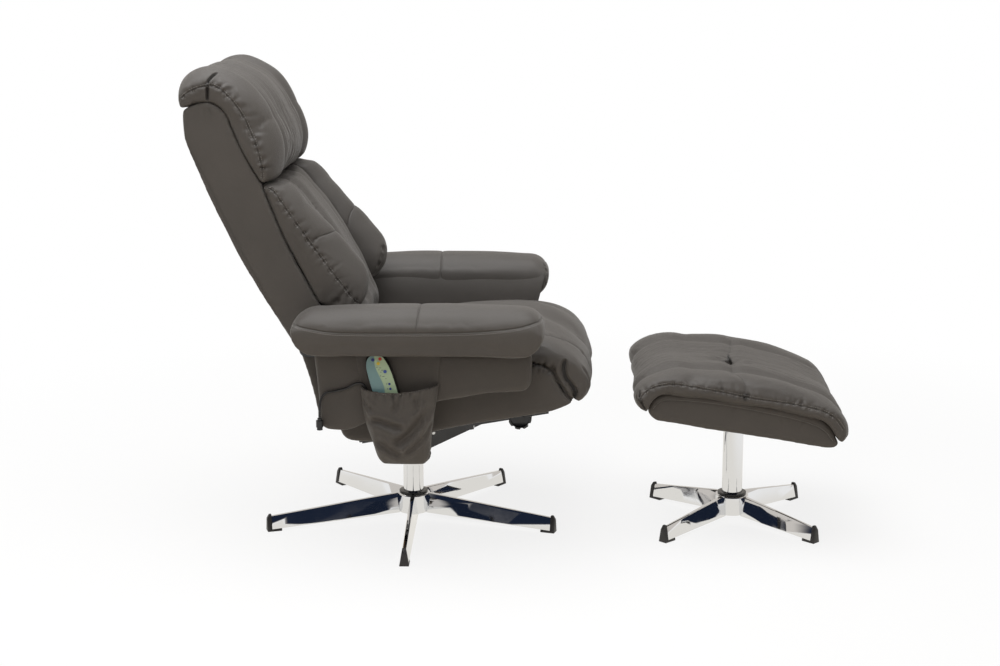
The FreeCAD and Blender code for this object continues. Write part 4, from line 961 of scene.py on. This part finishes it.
# Seat cushion: thick filled leather that rolls over the front rail. A seam divides the top from the gusset,
# the front corners are folded in a mitre, and the sides are gathered into the box.
seat_seam = [
    (0.02, -0.186, 0.458), (0.056, -0.176, 0.458), (0.081, -0.163, 0.452), (0.106, -0.15, 0.441),
    (0.126, -0.14, 0.426), (0.146, -0.128, 0.402), (0.156, -0.122, 0.375)]
seat_mitre = [
    (0.104, -0.228, 0.424), (0.099, -0.235, 0.404), (0.103, -0.236, 0.383), (0.115, -0.236, 0.371),
    (0.124, -0.235, 0.35), (0.119, -0.232, 0.33)]
seat_gather = [(0.0, -0.235, 0.402), (0.03, -0.236, 0.402), (0.06, -0.236, 0.4), (0.085, -0.235, 0.392)]
seat_front_folds = [[(0.128, -0.22, 0.4), (0.14, -0.205, 0.38), (0.14, -0.2, 0.35)],
                    [(0.124, -0.232, 0.372), (0.134, -0.222, 0.352), (0.128, -0.215, 0.334)]]

seat = padded("seat_cushion", "seat_cushion_leather", cap=0.01)
uneven(seat, depth=0.0012, size=0.12, seed=91)
seat_lines = sewn(seat, both_sides(seat_seam), rows=(-0.003,))
for k, line in enumerate(seat_lines):
    puckers(seat, line, pitch=0.034, length=0.04, depth=0.0009, seed=93 + k, sides=(-1, 1), width=0.005)
for k, route in enumerate(both_sides(seat_gather)):
    line = laid_on(seat, route)
    puckers(seat, line, pitch=0.009, length=0.032, depth=0.003, seed=96 + k, sides=(-1, 1), width=0.0042,
            skip=0.003)
for route in both_sides(seat_mitre):
    fold(seat, route, width=0.0052, depth=0.0065, lip=0.3, fade=0.012, sharp=0.006)
for right_route in seat_front_folds:
    for route in both_sides(right_route):
        fold(seat, route, width=0.0055, depth=0.003, lip=0.4, fade=0.014)

# Stool frame: a boxed plywood frame under thin foam and leather, screwed to the column's plate.
# One row of stitches runs below its upper edge.
stool_spot = (0.479, 0.015)
stool_box_y = 0.2195
stool_box_line = [
    (0.29, 0.313), (0.305, 0.33), (0.325, 0.332), (0.367, 0.33), (0.43, 0.323), (0.486, 0.314),
    (0.535, 0.304), (0.588, 0.293), (0.634, 0.279), (0.655, 0.265), (0.668, 0.247)]
box = padded("stool_frame", "stool_frame_cover", voxel=0.0042, smooth=12)
uneven(box, depth=0.0008, size=0.1, seed=101)
for side in (-1, 1):
    line = laid_on(box, at_side(stool_box_line, stool_spot[1] + side * stool_box_y))
    draw_in(box, line, width=0.0022, depth=0.0008)
    stitched(box, line, (0.0,))
    puckers(box, line, pitch=0.045, length=0.03, depth=0.0009, seed=103 + side, sides=(side,), width=0.0045)

# Stool cushion: a filled leather top with two channels across its width, a cross seam and a drawn tuft.
# A double-stitched seam runs round its sides, where the top is gathered in small puckers.
stool_middle = (0.479, 0.2)
stool_channel_y = 0.135
stool_seam_y = 0.236
stool_side_seam = [
    (0.257, 0.333), (0.268, 0.351), (0.289, 0.363), (0.323, 0.37), (0.358, 0.367), (0.393, 0.36),
    (0.435, 0.353), (0.476, 0.345), (0.518, 0.337), (0.567, 0.331), (0.62, 0.323), (0.648, 0.313),
    (0.672, 0.299), (0.688, 0.277)]
stool_cross = [
    (0.484, 0.205, 0.372), (0.476, 0.11, 0.373), (0.462, 0.0, 0.374), (0.461, -0.09, 0.373),
    (0.463, -0.16, 0.375), (0.478, -0.192, 0.371), (0.484, -0.212, 0.36), (0.481, -0.232, 0.345)]
stool_tuft = (0.461, -0.03, 0.374)
tuft_creases = ((8, 0.07), (38, 0.05), (150, 0.07), (172, 0.09), (205, 0.06), (335, 0.08))
stool_mitre = [
    (0.262, -0.205, 0.352), (0.255, -0.22, 0.334), (0.262, -0.236, 0.312), (0.275, -0.238, 0.296)]

top = padded("stool_cushion", "stool_cushion_leather", cap=0.008)
uneven(top, depth=0.001, size=0.085, seed=111)
skin = surface(top)
channels = [section(skin, stool_spot[1] + side * stool_channel_y, stool_middle, start=168, end=6)
            for side in (-1, 1)]
for line in channels:
    draw_in(top, line, width=0.017, depth=0.0048, lip=0.25)
refined(top, channels, 0.008)
for line in channels:
    draw_in(top, line, width=0.003, depth=0.002)
wrinkled(top, pitch=0.026, depth=0.0007, seed=113, half_width=stool_channel_y - 0.01,
         middle_y=stool_spot[1], front=lambda places, normals: np.clip(normals[:, 2] / 0.4, 0, 1))
lines = sewn(top, [at_side(stool_side_seam, stool_spot[1] + side * stool_seam_y) for side in (-1, 1)])
for k, (line, inner) in enumerate(zip(lines, (1, -1))):
    puckers(top, line, pitch=0.011, length=0.032, depth=0.003, seed=115 + k, sides=(inner,), width=0.004)
    puckers(top, line, pitch=0.02, length=0.018, depth=0.0012, seed=118 + k, sides=(-inner,), width=0.0038)
sewn(top, [stool_cross], sink=(0.014, 0.004), crease=(0.003, 0.0055), rows=())
places, normals = points_of(top)
round_tuft = np.linalg.norm(places - np.array(stool_tuft), axis=1)
dip = 0.01 * np.exp(-(round_tuft / 0.03) ** 2) + 0.003 * np.exp(-(round_tuft / 0.007) ** 2)
move_points(top, places - normals * dip[:, None])
for degrees, reach in tuft_creases:
    angle = math.radians(degrees)
    tip = Vector(stool_tuft) + Vector((math.cos(angle), math.sin(angle), 0)) * reach
    draw_in(top, laid(surface(top), [Vector(stool_tuft), tip]), width=0.0055, depth=0.0036, lip=0.3,
            taper=0.95)
for route in both_sides(stool_mitre):
    route = [(x, y + 2 * stool_spot[1] if y > 0 else y, z) for x, y, z in route]
    fold(top, route, width=0.0045, depth=0.005, lip=0.3, fade=0.012, sharp=0.005)

# Stitches: bonded grey thread in even rows beside the seams, sunk a little into the leather.
# A row is a line of points with one small bead on each, drawn out along the line.
thread_radius = 0.00052
stitch_length = 0.0036
stitch_pitch = 0.0048
thread, tree, shader = new_material("grey_thread")
dye = noise(tree, object_place(tree), 900, 2.0)
yarn = mixed(tree, dye, (0.19, 0.184, 0.178, 1), (0.33, 0.32, 0.31, 1))
join(tree, shader, {"Base Color": yarn, "Roughness": 0.6})

rows = bpy.data.node_groups.new("stitch_row", "GeometryNodeTree")
rows.interface.new_socket("Rows", in_out="INPUT", socket_type="NodeSocketGeometry")
row_values = {}
for label, kind, value in (("Pitch", "Float", stitch_pitch), ("Stitch Length", "Float", stitch_length),
                           ("Thread Radius", "Float", thread_radius), ("Thread", "Material", thread)):
    socket = rows.interface.new_socket(label, in_out="INPUT", socket_type="NodeSocket" + kind)
    row_values[socket.identifier] = value
rows.interface.new_socket("Stitches", in_out="OUTPUT", socket_type="NodeSocketGeometry")
given = add(rows, "NodeGroupInput").outputs
curve = add(rows, "GeometryNodeMeshToCurve", {"Mesh": given["Rows"]})
even = add(rows, "GeometryNodeResampleCurve", {"Curve": curve.outputs[0], "Length": given["Pitch"]},
           mode="LENGTH")
bead = add(rows, "GeometryNodeMeshUVSphere", {"Segments": 6, "Rings": 4, "Radius": 1.0})
scales = add(rows, "ShaderNodeCombineXYZ", {"X": given["Thread Radius"], "Y": given["Thread Radius"],
                                            "Z": maths(rows, "MULTIPLY", given["Stitch Length"], 0.5)})
tangent = add(rows, "GeometryNodeInputTangent").outputs[0]
turn = add(rows, "FunctionNodeAlignRotationToVector", {"Vector": tangent}, axis="Z")
spots = add(rows, "GeometryNodeInstanceOnPoints", {
    "Points": even.outputs[0], "Instance": bead.outputs["Mesh"], "Rotation": turn.outputs[0],
    "Scale": scales.outputs[0]})
solid = add(rows, "GeometryNodeRealizeInstances", {"Geometry": spots.outputs[0]})
soft = add(rows, "GeometryNodeSetShadeSmooth", {"Geometry": solid.outputs[0]})
dyed = add(rows, "GeometryNodeSetMaterial", {"Geometry": soft.outputs[0], "Material": given["Thread"]})
add(rows, "NodeGroupOutput", {"Stitches": dyed.outputs[0]})

for body in sorted(stitch_lines):
    vertices = []
    edges = []
    for line in stitch_lines[body]:
        first = len(vertices)
        vertices += line
        edges += [(first + i, first + i + 1) for i in range(len(line) - 1)]
    stitches = mesh_piece("stitches_" + body, vertices, [], edges)
    sewing = modified(stitches, "rows", "NODES", node_group=rows)
    for identifier, value in row_values.items():
        sewing[identifier] = value
    settle(stitches)
    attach(stitches, body)

# Handset: two-part glossy black case with a printed face of two colours and six rubber keys.
# Small moulded dots and bars mark the programmes beside the keys. The lock's hand wheel and the ends of
# the lead are of the same glossy plastic.
face_split_top = (-0.286, 0.44)
face_split_foot = (-0.265, 0.375)
split_blur = 0.0006
blue_face = (0.175, 0.315, 0.345, 1)
green_face = (0.415, 0.565, 0.4, 1)
worn_shade = (0.75, 0.75, 0.72, 1)
glossy_black = moulded("glossy_black", (0.008, 0.008, 0.009), 0.12, 0.2, 900, 0.00003)
face_paint, tree, shader = new_material("handset_face")
place = object_place(tree)
parts = add(tree, "ShaderNodeSeparateXYZ", {0: place}).outputs
split = spread(tree, parts["Z"], face_split_foot[0], face_split_top[0], face_split_foot[1], face_split_top[1],
               "SMOOTHSTEP")
beyond = maths(tree, "SUBTRACT", parts["X"], split)
face = mixed(tree, spread(tree, beyond, 0, 1, -split_blur, split_blur), blue_face, green_face)
wear = spread(tree, noise(tree, place, 220, 4.0), 0.0, 0.25)
finished(tree, shader, mixed(tree, wear, face, worn_shade, "MULTIPLY"), (90, 0.3, 0.42), (800, 0.00003))
for key, colour in (("key_power", (0.02, 0.035, 0.2)), ("key_mode", (0.56, 0.045, 0.035)),
                    ("key_timer", (0.72, 0.56, 0.06)), ("key_level", (0.05, 0.1, 0.4)),
                    ("key_upper_zone", (0.02, 0.045, 0.28)), ("key_lower_zone", (0.02, 0.045, 0.28))):
    paint(moulded(key + "_rubber", colour, 0.4, 0.5, 900, 0.00005), key)
paint(face_paint, "handset_face_plate")
paint(glossy_black, "cord_strain_relief", "cord_plug")
eased("handset_case", 0.0012, glossy_black)
eased("lock_knob", 0.001, glossy_black)

face_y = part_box("handset_face_plate")[0][1]
mark_height = 0.00015
dot = (0.0016, 0.0016)
mark_places = [(-0.2805, 0.4265, *dot), (-0.274, 0.4255, 0.0042, 0.0009), (-0.2765, 0.4215, *dot),
               (-0.27, 0.4205, 0.0042, 0.0009), (-0.2725, 0.4165, *dot), (-0.2735, 0.4085, *dot),
               (-0.2675, 0.4075, 0.005, 0.0009), (-0.2625, 0.403, *dot),
               (-0.261, 0.3918, 0.001, 0.0026), (-0.259, 0.3816, 0.001, 0.0026)]
ink = moulded("face_marks", (0.03, 0.045, 0.08), 0.4, 0.5, 900, 0.00003)
marks = mesh_piece("handset_marks", [], [])
shape = bmesh.new()
for x, z, wide, tall in mark_places:
    middle = Vector((x, face_y - mark_height / 2, z))
    for vertex in bmesh.ops.create_cube(shape, size=1.0)["verts"]:
        vertex.co = middle + vertex.co * Vector((wide, mark_height * 1.5, tall))
shape.to_mesh(marks.data)
shape.free()
dressed(marks, ink, "handset_face_plate")

# Handset lead: a round, limp, black rubber lead. It leaves the handset's foot, comes over the pocket's edge
# and drops to its plug.
lead_points = [
    (-0.24394, -0.32, 0.2995), (-0.239, -0.32, 0.281), (-0.242, -0.3205, 0.258), (-0.256, -0.3215, 0.2415),
    (-0.274, -0.3215, 0.245), (-0.282, -0.321, 0.265), (-0.29, -0.32, 0.29), (-0.295, -0.319, 0.316),
    (-0.298, -0.318, 0.341), (-0.302, -0.3175, 0.368), (-0.309, -0.3165, 0.389), (-0.326, -0.314, 0.3895),
    (-0.344, -0.3115, 0.377), (-0.371, -0.3096, 0.37), (-0.394, -0.31, 0.366), (-0.4015, -0.312, 0.35),
    (-0.403, -0.3145, 0.331), (-0.403, -0.3145, 0.3135)]
lead_diameter = 0.005
curve = bpy.data.curves.new("handset_lead", "CURVE")
tuned(curve, dimensions="3D", bevel_depth=lead_diameter / 2, bevel_resolution=4, resolution_u=8)
line = curve.splines.new("NURBS")
line.points.add(len(lead_points) - 1)
for point, spot in zip(line.points, lead_points):
    point.co = (*spot, 1)
tuned(line, order_u=3, use_endpoint_u=True)
lead = bpy.data.objects.new("handset_lead", curve)
scene.collection.objects.link(lead)
dressed(lead, moulded("lead_rubber", (0.016, 0.016, 0.017), 0.32, 0.44, 700, 0.00004), "handset_cord")
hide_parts("handset_cord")
